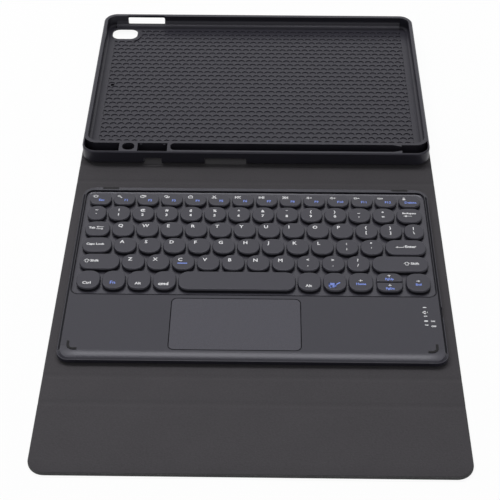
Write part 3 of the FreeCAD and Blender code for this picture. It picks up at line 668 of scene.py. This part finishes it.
def piece(name, bm, finishes, body=None, smooth=SHARP):
    """Turns a bmesh into an object with its finishes that rides on a body."""
    if smooth:
        soften(bm, smooth)
    mesh = bpy.data.meshes.new(name)
    bm.to_mesh(mesh)
    bm.free()
    for finish in finishes:
        mesh.materials.append(material_named(finish))
    made = bpy.data.objects.new(name, mesh)
    bpy.context.scene.collection.objects.link(made)
    if body:
        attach(made, body)
    return made


def dress(node, finish):
    """Gives a shown CAD node a finish."""
    mesh = frame["nodes"][node].data
    mesh.materials.clear()
    mesh.materials.append(material_named(finish))


def material_named(name):
    found = bpy.data.materials.get(name)
    if found is None:
        raise RuntimeError(f"there is no finish named {name}; run the finishes first")
    return found


class CASE_OT_finishes(bpy.types.Operator):
    """Makes every surface finish"""

    bl_idname = "case.finishes"
    bl_label = "Finishes"

    def execute(self, context):
        keys = context.scene.keyboard_look
        lining_finish()
        skin_finish()
        rubber_finish()
        case_finish(keys.case, keys.field, 0.25)
        moulded_finish("cap_plastic", keys.cap, 0.30)
        moulded_finish("skirt_plastic", keys.painted_shade_skirt, 0.5)
        moulded_finish("pad_plastic", keys.pad, 0.28, 4200.0)
        moulded_finish("board_stock", (0.16, 0.15, 0.14), 0.8)
        moulded_finish("film", (0.35, 0.35, 0.32), 0.45)
        moulded_finish("cell_foil", (0.40, 0.41, 0.43), 0.35)
        inks = {"white_ink": keys.white, "blue_ink": keys.blue, "window_light": (0.90, 0.91, 0.93)}
        for name, tone in inks.items():
            speckled_finish(name, tone, 0.6, 0.2, 2200.0, (0.9, 1.0))
        # Painted shade: the grooves, the case's side slopes and the tray's windows; dark film is also
        # the tray's real bond.
        darks = {
            "groove_shade": (0.010, 0.010, 0.012), "slope_shade": (0.028, 0.028, 0.032),
            "window_film": (0.036, 0.035, 0.037), "dark_film": (0.004, 0.004, 0.005),
        }
        for name, tone in darks.items():
            speckled_finish(name, tone, 1.0, 0.0, 1500.0, (0.7, 1.3))
        rubbers = {"bumper_rubber": (0.006, 0.006, 0.007), "dome_rubber": (0.42, 0.42, 0.40)}
        for name, tone in rubbers.items():
            speckled_finish(name, tone, 0.8, 0.25, 1800.0, (0.8, 1.3), 0.08 * MM)
        sheet_metal_finish("steel", (0.52, 0.52, 0.54))
        sheet_metal_finish("plated", (0.62, 0.62, 0.63))
        circuit_finish("circuit", (0.02, 0.10, 0.05))
        return {"FINISHED"}


def crease_places():
    """Where the four creases are along Y, from the frame's joints."""
    joints = {j["name"]: j for j in frame["joints"]}
    return [
        (joints[name]["pos_m"][1], pair)
        for name, pair in (
            ("flap_fold", ("flap", "strip")), ("front_fold", ("strip", "bed")),
            ("rear_fold", ("bed", "spine")), ("back_fold", ("spine", "back")),
        )
    ]


def punch(bm, low, high, radius):
    """Opens a window with round corners right through a flat piece."""
    inside = cut_rectangle(bm, low, high)
    rims = list(dict.fromkeys(e for f in inside for e in f.edges))
    bmesh.ops.delete(bm, geom=inside, context="FACES_ONLY")
    rims = [e for e in rims if e.is_valid]
    open_rims = [e for e in rims if e.is_boundary]
    bmesh.ops.delete(bm, geom=[e for e in rims if e.is_wire], context="EDGES")
    bmesh.ops.bridge_loops(bm, edges=open_rims)
    upright = upright_edges(bm.edges)
    sides = edges_at(upright, 0, low[0]) + edges_at(upright, 0, high[0])
    corners = edges_at(sides, 1, low[1]) + edges_at(sides, 1, high[1])
    round_edges(bm, corners, radius, 6)


def cover_layer(index, z0, z1, inset):
    """One sheet of the cover, from mid panel to mid panel across one crease."""
    look = bpy.context.scene.cover_look
    creases = crease_places()
    whole_low, whole_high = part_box("flap_skin")[0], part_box("back_skin")[1]
    ends = [whole_low[1] + inset]
    ends += [(creases[i][0] + creases[i + 1][0]) / 2 for i in range(3)]
    ends += [whole_high[1] - inset]
    y0, y1, crease = ends[index], ends[index + 1], creases[index][0]
    x = whole_high[0] - inset
    bm = bmesh.new()
    add_block(bm, (-x, y0, z0), (x, y1, z1))
    free = {0: y0, 3: y1}.get(index)
    if free is not None:
        corners = edges_at(upright_edges(bm.edges), 1, free)
        round_edges(bm, corners, look.corner - inset, 10)
    joined = [e for y in (y0, y1) if y != free for e in edges_at(bm.edges, 1, y)]
    level = edges_at(bm.edges, 2, z1) + edges_at(bm.edges, 2, z0)
    edge = look.edge / 2 if inset else look.edge
    round_edges(bm, [e for e in level if e not in joined], edge, 3)
    rows = 7
    for row in range(-rows, rows + 1):
        cut(bm, 1, crease + look.fold * row / rows)
    for vert in bm.verts:
        away = abs(vert.co.y - crease) / look.fold
        if away < 1.0 and vert.co.z > (z0 + z1) / 2:
            vert.co.z -= look.valley * (1 - away * away) ** 2
    return bm, creases[index], y1 - y0


class CASE_OT_cover(bpy.types.Operator):
    """Lays the lining and the skin, each with a pressed line along its creases"""

    bl_idname = "case.cover"
    bl_label = "Cover"

    def execute(self, context):
        look = context.scene.cover_look
        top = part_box("bed_lining")[1][2]
        lining_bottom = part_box("bed_lining")[0][2]
        camera_low, camera_high = camera_window(COVER_CLEARANCE)
        layers = (
            ("lining", lining_bottom, top, look.lining_inset, "brushed_lining"),
            ("skin", 0.0, top - SKIN_DROP, 0.0, "coated_skin"),
        )
        for kind, z0, z1, inset, finish in layers:
            for index, part in enumerate(("front", "wrap", "rear", "hinge")):
                bm, (crease, bodies), length = cover_layer(index, z0, z1, inset)
                if index == 3:
                    punch(bm, camera_low, camera_high, CAMERA_ROUND + COVER_CLEARANCE)
                sheet = piece(f"{kind}_{part}", bm, [finish])
                start = (0, crease - look.fold, top)
                end = (0, crease + look.fold, top)
                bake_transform(sheet)
        for kind in ("lining", "skin"):
            for index, panel in ((0, "flap"), (1, "strip"), (1, "bed"), (2, "spine"), (3, "back")):
                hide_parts(f"{panel}_{kind}")
        for panel in ("flap", "bed", "spine", "back"):
            dress(f"{panel}_board", "board_stock")
        for node in ("flap_magnets", "bed_magnets"):
            dress(node, "plated")
        dress("back_keepers", "steel")
        return {"FINISHED"}


def camera_window(clearance):
    """The camera window's plan, grown by a clearance."""
    low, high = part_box("tray")
    left, far = low[0] + CAMERA_INSET[0], high[1] - CAMERA_INSET[1]
    return (
        (left - clearance, far - CAMERA_SIZE[1] - clearance),
        (left + CAMERA_SIZE[0] + clearance, far + clearance),
    )


class CASE_OT_tray(bpy.types.Operator):
    """Finishes the tray and lays the honeycomb in its floor"""

    bl_idname = "case.tray"
    bl_label = "Tray"

    def execute(self, context):
        look = context.scene.tray_look
        dress("tray", "tray_rubber")
        dress("tray_bond", "dark_film")
        low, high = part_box("tray")
        floor = low[2] + TRAY_FLOOR
        bm = honeycomb(look, *plan_inside("tray", *FIELD_INSET), floor)
        window_low, window_high = camera_window(CAMERA_RIM)
        clear(bm, (low[0], window_low[1]), (window_high[0], high[1]))
        (left, near), (right, far) = plan_inside("tray", *TABLET_INSET)
        x, y, half = low[0] + SOUND_HOLE_SIDE, (near + far) / 2, look.sound_hole / 2
        clear(bm, (x - half, y - half), (x + half, y + half))
        piece("honeycomb", bm, ["tray_rubber"], "back", smooth=25.0)
        # Painted shade: a dark disc under the sound hole stands for the shade inside it.
        bm = bmesh.new()
        place = Matrix.Translation((x, y, floor - look.depth / 2 + SOUND_SHADE_LIFT))
        radius = look.sound_hole * SOUND_SHADE_SHARE
        bmesh.ops.create_cone(
            bm, cap_ends=True, segments=24, radius1=radius, radius2=radius, depth=look.depth,
            matrix=place,
        )
        piece("sound_mesh", bm, ["dark_film"], "back")
        self.window_painted_shades(low)
        bm = cove_ring(look, (left, near), (right, far), floor)
        piece("floor_cove", bm, ["tray_rubber"], "back", smooth=50.0)
        slot = (low[0] + VOLUME_SLOT[0], low[0] + VOLUME_SLOT[1])
        start, end = left + LEDGE_END, right - LEDGE_END
        runs = ((start, slot[0], True), (*slot, False), (slot[1], end, True))
        for number, (start, stop, hollow) in enumerate(runs, 1):
            bm = far_ledge(look, start, stop, far, floor, hollow)
            piece(f"far_ledge_{number}", bm, ["tray_rubber"], "back", smooth=40.0)
        return {"FINISHED"}

    def window_painted_shades(self, low):
        """Patches of painted shade on the cover inside the two near windows, where the tray shades it.
        """
        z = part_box("back_lining")[1][2] + PAINTED_SHADE_LIFT
        depth = NEAR_WINDOW_DEPTH
        for number, (start, length) in enumerate(NEAR_WINDOWS, 1):
            bm = bmesh.new()
            middle = (low[0] + start + length / 2, low[1] + depth / 2, z)
            add_rectangle(bm, middle, length, depth)
            piece(f"window_film_{number}", bm, ["window_film"], "back")


def cove_ring(look, low, high, floor):
    """The hollow round where the floor meets the walls, all the way round."""
    radius = look.cove
    bm, lid = rounded_block((*low, floor), (*high, floor + radius), TABLET_ROUND)
    walls = [f for f in bm.faces if f not in lid]
    steps = 6
    turns = [math.pi / 2 * step / steps for step in range(steps + 1)]
    for before, after in zip(turns, turns[1:]):
        reach = radius * (math.cos(before) - math.cos(after))
        drop = radius * (math.sin(after) - math.sin(before))
        step_in(bm, lid, reach, -drop)
    bmesh.ops.delete(bm, geom=lid + walls, context="FACES")
    return bm


def far_ledge(look, start, stop, far, floor, hollow):
    """A run of the ledge along the far wall, with or without a hollow round up to the wall."""
    bm = bmesh.new()
    brow = bm.verts.new((start, far - look.ledge_width, floor + look.ledge_height))
    if hollow:
        turn, radius = math.pi / 2 - look.ledge_slope, look.ledge_cove
        flat = look.ledge_width - radius * (1 - math.cos(turn))
        bend = brow.co.z + flat * math.tan(look.ledge_slope)
        hub = Vector((start, far - radius, bend + radius * math.sin(turn)))
        wall = bm.verts.new(hub + Vector((0, radius, 0)))
        turned = bmesh.ops.spin(bm, geom=[wall], cent=hub, axis=(-1, 0, 0), angle=turn, steps=8)
        last = verts_in(turned["geom_last"])[0]
    else:
        wall = last = bm.verts.new((start, far, brow.co.z))
    foot = bm.verts.new((start, brow.co.y - look.ledge_foot, floor))
    chain = [last, brow, foot, bm.verts.new((start, far, floor)), wall]
    for before, after in zip(chain, chain[1:]):
        bm.edges.new((before, after))
    bmesh.ops.contextual_create(bm, geom=bm.edges[:])
    drawn = bmesh.ops.extrude_face_region(bm, geom=bm.faces[:])["geom"]
    bmesh.ops.translate(bm, verts=verts_in(drawn), vec=(stop - start, 0, 0))
    bmesh.ops.recalc_face_normals(bm, faces=bm.faces[:])
    round_edges(bm, edges_at(bm.edges, 1, far - look.ledge_width), look.ledge_round, 4)
    return bm


def honeycomb(look, low, high, floor):
    """A field of six-sided pockets, cut off straight at its borders."""
    bm = bmesh.new()
    stretch = Matrix.Diagonal((1.0, look.row / (look.pitch * math.sqrt(3) / 2), 1.0, 1.0))
    for x, y in ((0.0, 0.0), (look.pitch / 2, look.row)):
        place = Matrix.Translation((low[0] + x, low[1] + y, floor)) @ stretch
        bmesh.ops.create_circle(
            bm, cap_ends=True, radius=look.pitch / math.sqrt(3), segments=6, matrix=place
        )
    cells = bm.faces[:]
    bmesh.ops.inset_individual(bm, faces=cells, thickness=look.web / 2, depth=0.0)
    for cell in cells:
        hub = cell.calc_center_median()
        bmesh.ops.bisect_edges(bm, edges=cell.edges[:], cuts=2)
        mean = sum((v.co - hub).length for v in cell.verts) / len(cell.verts)
        for vert in cell.verts:
            arm = vert.co - hub
            vert.co = hub + arm * (1 - look.roundness + look.roundness * mean / arm.length)
    bmesh.ops.inset_individual(bm, faces=cells, thickness=look.wall, depth=-look.depth)
    spans = ((0, look.pitch, high[0] - low[0]), (1, 2 * look.row, high[1] - low[1]))
    for axis, step, span in spans:
        count = 1
        while count * step < span + 2 * step:
            copied = bmesh.ops.duplicate(bm, geom=bm.verts[:] + bm.edges[:] + bm.faces[:])
            move = Vector()
            move[axis] = step * count
            bmesh.ops.translate(bm, verts=verts_in(copied["geom"]), vec=move)
            count *= 2
    bmesh.ops.remove_doubles(bm, verts=bm.verts[:], dist=CELL_WELD)
    for axis in (0, 1):
        cut(bm, axis, low[axis], -1)
        cut(bm, axis, high[axis], 1)
    bmesh.ops.recalc_face_normals(bm, faces=bm.faces[:])
    if sum(f.normal.z for f in bm.faces) < 0:
        bmesh.ops.reverse_faces(bm, faces=bm.faces[:])
    return bm


def clear(bm, low, high):
    """Takes out the part of a sheet that lies inside a rectangle."""
    bmesh.ops.delete(bm, geom=cut_rectangle(bm, low, high), context="FACES")


class CASE_OT_keyboard(bpy.types.Operator):
    """Finishes the keyboard's case, its touchpad, its trim and what is inside"""

    bl_idname = "case.keyboard"
    bl_label = "Keyboard"

    def execute(self, context):
        finishes = {
            "case_plastic": ("top_case", "bottom_case", "power_slider"),
            "pad_plastic": ("touchpad_plate",),
            "circuit": ("touchpad_board", "main_board"),
            "steel": ("key_plate", "touchpad_switches", "charging_socket"),
            "film": ("membrane",),
            "dome_rubber": ("key_domes",),
            "cell_foil": ("battery",),
            "bumper_rubber": ("corner_bumpers", "rear_pads"),
            "plated": ("keyboard_magnets",),
            "window_light": ("indicator_windows",),
        }
        for finish, nodes in finishes.items():
            for node in nodes:
                dress(node, finish)
        look = context.scene.keyboard_look
        piece("field_bead", field_bead(look), ["case_plastic"], "keyboard")
        self.grooves(look)
        piece("side_slopes", side_slopes(), ["slope_shade"], "keyboard")
        piece("rear_rim", rear_rim(look), ["case_plastic"], "keyboard")
        return {"FINISHED"}

    def grooves(self, look):
        """Lines of painted shade where the case meets the key field and the touchpad."""
        plans = (
            ("field", *plan_inside("top_case", *WELL_INSET), WELL_CORNER),
            ("pad", *plan_inside("touchpad_plate", *PAD_INSET), PAD_CORNER),
        )
        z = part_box("top_case")[1][2] + look.ink
        for name, low, high, corner in plans:
            bm = flat_ring(low, high, corner, z, look.groove)
            piece(f"{name}_groove", bm, ["groove_shade"], "keyboard")


def flat_ring(low, high, corner, z, width):
    """A flat band round the outside of a rectangle with round corners."""
    start = (low[0] - width, low[1] - width, z - width)
    return rounded_band(start, (high[0] + width, high[1] + width, z), corner + width, width)


def side_slopes():
    """Bands of painted shade on the slopes along the case's two sides, dark and without gloss."""
    start, width, tall, corner = CASE_SLOPE
    low, high = plan_inside("top_case", start, start, start)
    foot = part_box("top_case")[1][2] - tall
    bm = rounded_band((*low, foot - tall), (*high, foot), corner - start, width, tall)
    (_, near), (_, far) = plan_inside("top_case", 0.0, *CASE_SLOPE_ENDS)
    cut(bm, 1, near, -1)
    cut(bm, 1, far, 1)
    bmesh.ops.translate(bm, verts=bm.verts[:], vec=(0, 0, PAINTED_SHADE_LIFT))
    return bm


def rear_rim(look):
    """The back of the rim, which slopes down towards the keys and stops short at the rear pads."""
    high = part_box("top_case")[1]
    near = high[1] - WELL_INSET[2] + look.groove
    pads_low, pads_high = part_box("rear_pads")
    end, pad_end, pad_start = high[0] - RIM_END, pads_high[0], pads_high[0] - REAR_PAD_LENGTH
    edge = high[1] - CASE_SLOPE[0] - CASE_SLOPE[1]
    runs = (
        (-end, -pad_end, edge), (-pad_end, -pad_start, pads_low[1]), (-pad_start, pad_start, edge),
        (pad_start, pad_end, pads_low[1]), (pad_end, end, edge),
    )
    bm = bmesh.new()
    for start, stop, far in runs:
        verts = add_block(bm, (start, near, high[2] - look.groove), (stop, far, high[2]))
        for vert in verts:
            if vert.co.y > near + look.groove / 2 and vert.co.z > high[2] - look.groove / 2:
                vert.co.z += (far - near) * look.rim_slope
    return bm


def field_bead(look):
    """A low bead on the floor of the key field that slopes down inwards, a little inside its walls."""
    low, high = plan_inside("top_case", *BEAD_INSET)
    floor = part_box("top_case")[1][2] - WELL_DEPTH
    bm, lid = rounded_block((*low, floor), (*high, floor + look.bead_height), BEAD_CORNER, 6)
    step_in(bm, lid, look.bead, -look.bead_height)
    underside = [f for f in bm.faces if f.normal.z < -LEVEL]
    bmesh.ops.delete(bm, geom=lid + underside, context="FACES")
    return bm


def key_nodes():
    """The nodes that are keys: those that a press joint moves."""
    return [j["child"] for j in frame["joints"] if j["name"].endswith("_press")]


def key_plans(node):
    """Left, right, near and far of each key of a node, from left to right; top and foot."""
    foot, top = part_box(node)[0][2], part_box(node)[1][2]
    bm = bmesh.new()
    bm.from_mesh(frame["nodes"][node].data)
    bmesh.ops.remove_doubles(bm, verts=bm.verts[:], dist=KEY_WELD)
    plans, seen = [], set()
    for vert in bm.verts:
        if vert in seen:
            continue
        group, todo = [], [vert]
        seen.add(vert)
        while todo:
            here = todo.pop()
            group.append(here.co.copy())
            for edge in here.link_edges:
                there = edge.other_vert(here)
                if there not in seen:
                    seen.add(there)
                    todo.append(there)
        crown = [p for p in group if p.z > top - CROWN_DEPTH]
        xs, ys = [p.x for p in crown], [p.y for p in crown]
        plans.append((min(xs), max(xs), min(ys), max(ys)))
    bm.free()
    return sorted(plans), top, foot


def cap_radii(look, node, plan):
    """Radii of a keycap's near and far corners; the halves of the arrow pair are round outside."""
    width, depth = plan[1] - plan[0], plan[3] - plan[2]
    radius = look.cap_corner if depth > 2 * look.cap_corner else look.short_corner
    if node == "up_arrow_key":
        return look.inner_corner, radius
    if node == "down_arrow_key":
        return radius, look.inner_corner
    radius = min(radius, CORNER_SHARE * min(depth, width))
    return radius, radius


def keycap(bm, look, node, plan, top, foot):
    """Adds one keycap with round corners, sloping sides, a soft upper edge and its plunger."""
    left, right, near, far = plan
    middle, under, flare = (near + far) / 2, top - look.cap_thickness, look.cap_flare
    radii = cap_radii(look, node, plan)
    verts = add_block(bm, (left - flare, near - flare, under), (right + flare, far + flare, top))
    edges = upright_edges(edges_of(verts))
    rounded = []
    for beyond, radius in ((False, radii[0]), (True, radii[1])):
        ends = [e for e in edges if e.is_valid and (e.verts[0].co.y > middle) == beyond]
        rounded += round_edges(bm, ends, radius + flare, 8)["verts"]
    for vert in rounded:
        if vert.co.z > top - SAME:
            radius = radii[1] if vert.co.y > middle else radii[0]
            x = min(max(vert.co.x, left + radius), right - radius)
            y = min(max(vert.co.y, near + radii[0]), far - radii[1])
            hub = Vector((x, y, top))
            vert.co = hub + (vert.co - hub) * radius / (radius + flare)
    bm.normal_update()
    rim = [
        e for e in edges_at(edges_of(rounded), 2, top)
        if any(abs(f.normal.z) < STEEP for f in e.link_faces)
    ]
    soft = round_edges(bm, rim, look.cap_edge, 3)["verts"]
    crown = [f for f in {f for v in soft for f in v.link_faces} if f.normal.z > FLAT]
    step_in(bm, crown, look.cap_edge / 2)
    x, half = (left + right) / 2, min(PLUNGER_HALF, (far - near) / 4)
    plunger = add_block(
        bm, (x - PLUNGER_HALF, middle - half, foot), (x + PLUNGER_HALF, middle + half, under)
    )
    round_edges(bm, upright_edges(edges_of(plunger)), PLUNGER_ROUND, 2)


class CASE_OT_keycaps(bpy.types.Operator):
    """Makes the keycaps in place of the plain ones"""

    bl_idname = "case.keycaps"
    bl_label = "Keycaps"

    def execute(self, context):
        look = context.scene.keyboard_look
        finishes = ("cap_plastic", "skirt_plastic")
        for node in key_nodes():
            plans, top, foot = key_plans(node)
            bm = bmesh.new()
            for plan in plans:
                keycap(bm, look, node, plan, top, foot)
            bm.normal_update()
            # Faces that are far from level, the sides of a key, take the dark tone of painted shade.
            for face in bm.faces:
                face.material_index = 0 if face.normal.z > CAP_TURN else 1
            caps = piece(f"caps_{node}", bm, finishes, node, smooth=50.0)
            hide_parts(node)
        return {"FINISHED"}


def lettering(bm, words, tall, middle, ink=WHITE_INK, bold=BOLD, align="CENTER"):
    """Adds words as flat faces, their middle or their left end at a point; tall in millimetres."""
    curve = bpy.data.curves.new("words", "FONT")
    curve.body = words
    curve.align_x = align
    curve.align_y = "CENTER"
    curve.resolution_u = 2
    curve.size = tall * MM / CAPITAL_SHARE
    curve.offset = bold * MM
    writer = bpy.data.objects.new("words", curve)
    mesh = bpy.data.meshes.new_from_object(writer)
    bpy.data.objects.remove(writer)
    bpy.data.curves.remove(curve)
    mesh.transform(Matrix.Translation(middle))
    before = len(bm.faces)
    bm.from_mesh(mesh)
    bpy.data.meshes.remove(mesh)
    bm.faces.ensure_lookup_table()
    for face in bm.faces[before:]:
        face.material_index = ink


def drawing(bm, name, side, middle, ink=WHITE_INK, line=0.16, wide=1.0):
    """Adds a small sign drawn in strokes, its middle at a point; side in millimetres."""
    unit, thick = side * MM / 100, side * MM * line
    for chain in SIGNS[name]:
        points = [
            Vector(middle) + Vector((across * wide, up, 0)) * unit
            for across, up in zip(chain[::2], chain[1::2])
        ]
        for start, end in zip(points, points[1:]):
            run = end - start
            turn = math.atan2(run.y, run.x)
            stroke = add_rectangle(bm, (start + end) / 2, run.length + thick, thick, turn)
            stroke.material_index = ink


class Print:
    """The print on one key: words and signs at shares of its width and depth."""

    def __init__(self, bm, plan, z):
        self.bm = bm
        self.left, self.right, self.near, self.far = plan
        self.z = z

    def spot(self, across, down):
        x = self.left + across * (self.right - self.left)
        return x, self.far - down * (self.far - self.near), self.z

    def words(self, text, tall, across, down, *style):
        lettering(self.bm, text, tall, self.spot(across, down), *style)

    def sign(self, name, side, across, down, *style):
        drawing(self.bm, name, side, self.spot(across, down), *style)


def print_row(mark, text, letter, down):
    """A letter near the upper left, or a pair of marks one above the other."""
    if len(text) == 1:
        mark.words(text, letter, 0.25, down, WHITE_INK, 0.10, "LEFT")
    else:
        for character, place in zip(text, (0.30, 0.64)):
            mark.words(character, 2.5, 0.47, place, WHITE_INK, 0.12)


def print_function(mark, name, word):
    """A white sign near the upper left and a blue word below it."""
    mark.sign(name, 2.6, 0.245, 0.27, WHITE_INK, 0.22, 1.35)
    mark.words(word, 2.2, {"Esc": 0.55, "Delete": 0.54}.get(word, 0.60), 0.63, BLUE_INK)


class CASE_OT_prints(bpy.types.Operator):
    """Prints the letters and signs on the keys and the palm rest"""

    bl_idname = "case.prints"
    bl_label = "Prints"

    def execute(self, context):
        look = context.scene.keyboard_look
        for node in key_nodes():
            if node == "space_bar":
                continue
            plans, top, _ = key_plans(node)
            bm = bmesh.new()
            for index, plan in enumerate(plans):
                mark = Print(bm, plan, top + look.ink)
                if node == "function_keys":
                    print_function(mark, *FUNCTION_PRINTS[index])
                if node in ROW_PRINTS:
                    down = 0.36 if node == "lower_letter_keys" else 0.30
                    print_row(mark, ROW_PRINTS[node][index], look.letter / MM, down)
                if node in SINGLE_SIGNS:
                    mark.sign(*SINGLE_SIGNS[node])
                if node in SINGLE_WORDS:
                    mark.words(*SINGLE_WORDS[node])
                if (node, index) == UNDERLINED:
                    mark.sign("bar", 5.6, 0.46, 0.6, BLUE_INK)
            piece(f"print_{node}", bm, INKS, node, smooth=None)
        self.palm_prints(look)
        return {"FINISHED"}

    def palm_prints(self, look):
        """Small signs beside the indicator windows and the power slider."""
        low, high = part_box("indicator_windows")
        x, y = (low[0] + high[0]) / 2, high[1]
        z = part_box("touchpad_plate")[1][2] + look.ink
        bm = bmesh.new()
        for name, side, across, up, line in PALM_SIGNS:
            drawing(bm, name, side, (x + across * MM, y + up * MM, z), WHITE_INK, line)
        for text, tall, across, up in PALM_WORDS:
            lettering(bm, text, tall, (x + across * MM, y + up * MM, z))
        piece("print_palm", bm, INKS, "keyboard", smooth=None)


class CASE_OT_stage(bpy.types.Operator):
    """Sets the floor, the lights and the camera"""

    bl_idname = "case.stage"
    bl_label = "Stage"

    def execute(self, context):
        scene = context.scene
        look = scene.stage_look
        scene.view_settings.view_transform = "Standard"
        self.floor(look)
        self.sky(scene, look)
        for name, layout in LAMPS.items():
            self.lamp(name, getattr(look, name), *layout)
        camera = bpy.data.cameras.new("camera")
        camera.lens = look.lens
        camera.sensor_width = SENSOR_WIDTH
        camera.clip_start = 0.01
        viewer = bpy.data.objects.new("camera", camera)
        scene.collection.objects.link(viewer)
        viewer.location = CAMERA_PLACE
        viewer.rotation_euler = CAMERA_TURN
        scene.camera = viewer
        return {"FINISHED"}

    def floor(self, look):
        finish = Finish("pale_floor", look.floor, 0.9, {"Specular IOR Level": 0.0})
        glow = finish.node("Emission", None, {"Color": WHITE, "Strength": 1.0})
        finish.show("Material Output", finish.seen() * FLOOR_GLOW, finish.shader, glow)
        bm = bmesh.new()
        add_rectangle(bm, (0, 0, -FLOOR_DROP), FLOOR_SIDE, FLOOR_SIDE)
        piece("floor", bm, ["pale_floor"])

    def sky(self, scene, look):
        scene.world = scene.world or bpy.data.worlds.new("sky")
        scene.world.use_nodes = True
        sky = Shading(scene.world.node_tree)
        soft = sky.tree.nodes["Background"]
        sky.feed(soft, "Strength", look.sky)
        sky.feed(soft, "Color", SKY_TONE)
        white = sky.node("Background", None, {"Color": WHITE})
        sky.show("World Output", sky.seen(), soft, white)

    def lamp(self, name, power, place, target, width, depth):
        light = bpy.data.lights.new(name, "AREA")
        light.shape = "RECTANGLE"
        light.size = width
        light.size_y = depth
        light.energy = power
        lamp = bpy.data.objects.new(name, light)
        bpy.context.scene.collection.objects.link(lamp)
        lamp.location = place
        aim = Vector(target) - Vector(place)
        lamp.rotation_euler = aim.to_track_quat("-Z", "Y").to_euler()


class CASE_PT_panel(bpy.types.Panel):
    """Lists the steps and what may be changed"""

    bl_label = "Keyboard case"
    bl_idname = "CASE_PT_panel"
    bl_space_type = "VIEW_3D"
    bl_region_type = "UI"
    bl_category = "Keyboard case"

    def draw(self, context):
        for step in STEPS:
            self.layout.operator(step.bl_idname)
        for look in LOOKS:
            group = getattr(context.scene, look)
            box = self.layout.box()
            for name in group.__annotations__:
                box.prop(group, name)


LOOKS = {
    "cover_look": CoverLook, "tray_look": TrayLook, "keyboard_look": KeyboardLook,
    "stage_look": StageLook,
}
STEPS = (
    CASE_OT_finishes, CASE_OT_cover, CASE_OT_tray, CASE_OT_keyboard, CASE_OT_keycaps,
    CASE_OT_prints, CASE_OT_stage,
)


def register():
    for name, look in LOOKS.items():
        bpy.utils.register_class(look)
        setattr(bpy.types.Scene, name, bpy.props.PointerProperty(type=look))
    for step in STEPS:
        bpy.utils.register_class(step)
    bpy.utils.register_class(CASE_PT_panel)


def unregister():
    bpy.utils.unregister_class(CASE_PT_panel)
    for step in reversed(STEPS):
        bpy.utils.unregister_class(step)
    for name, look in LOOKS.items():
        delattr(bpy.types.Scene, name)
        bpy.utils.unregister_class(look)


def main():
    register()
    bpy.ops.case.finishes()
    bpy.ops.case.cover()
    bpy.ops.case.tray()
    bpy.ops.case.keyboard()
    bpy.ops.case.keycaps()
    bpy.ops.case.prints()
    bpy.ops.case.stage()


if __name__ == "__main__":
    main()
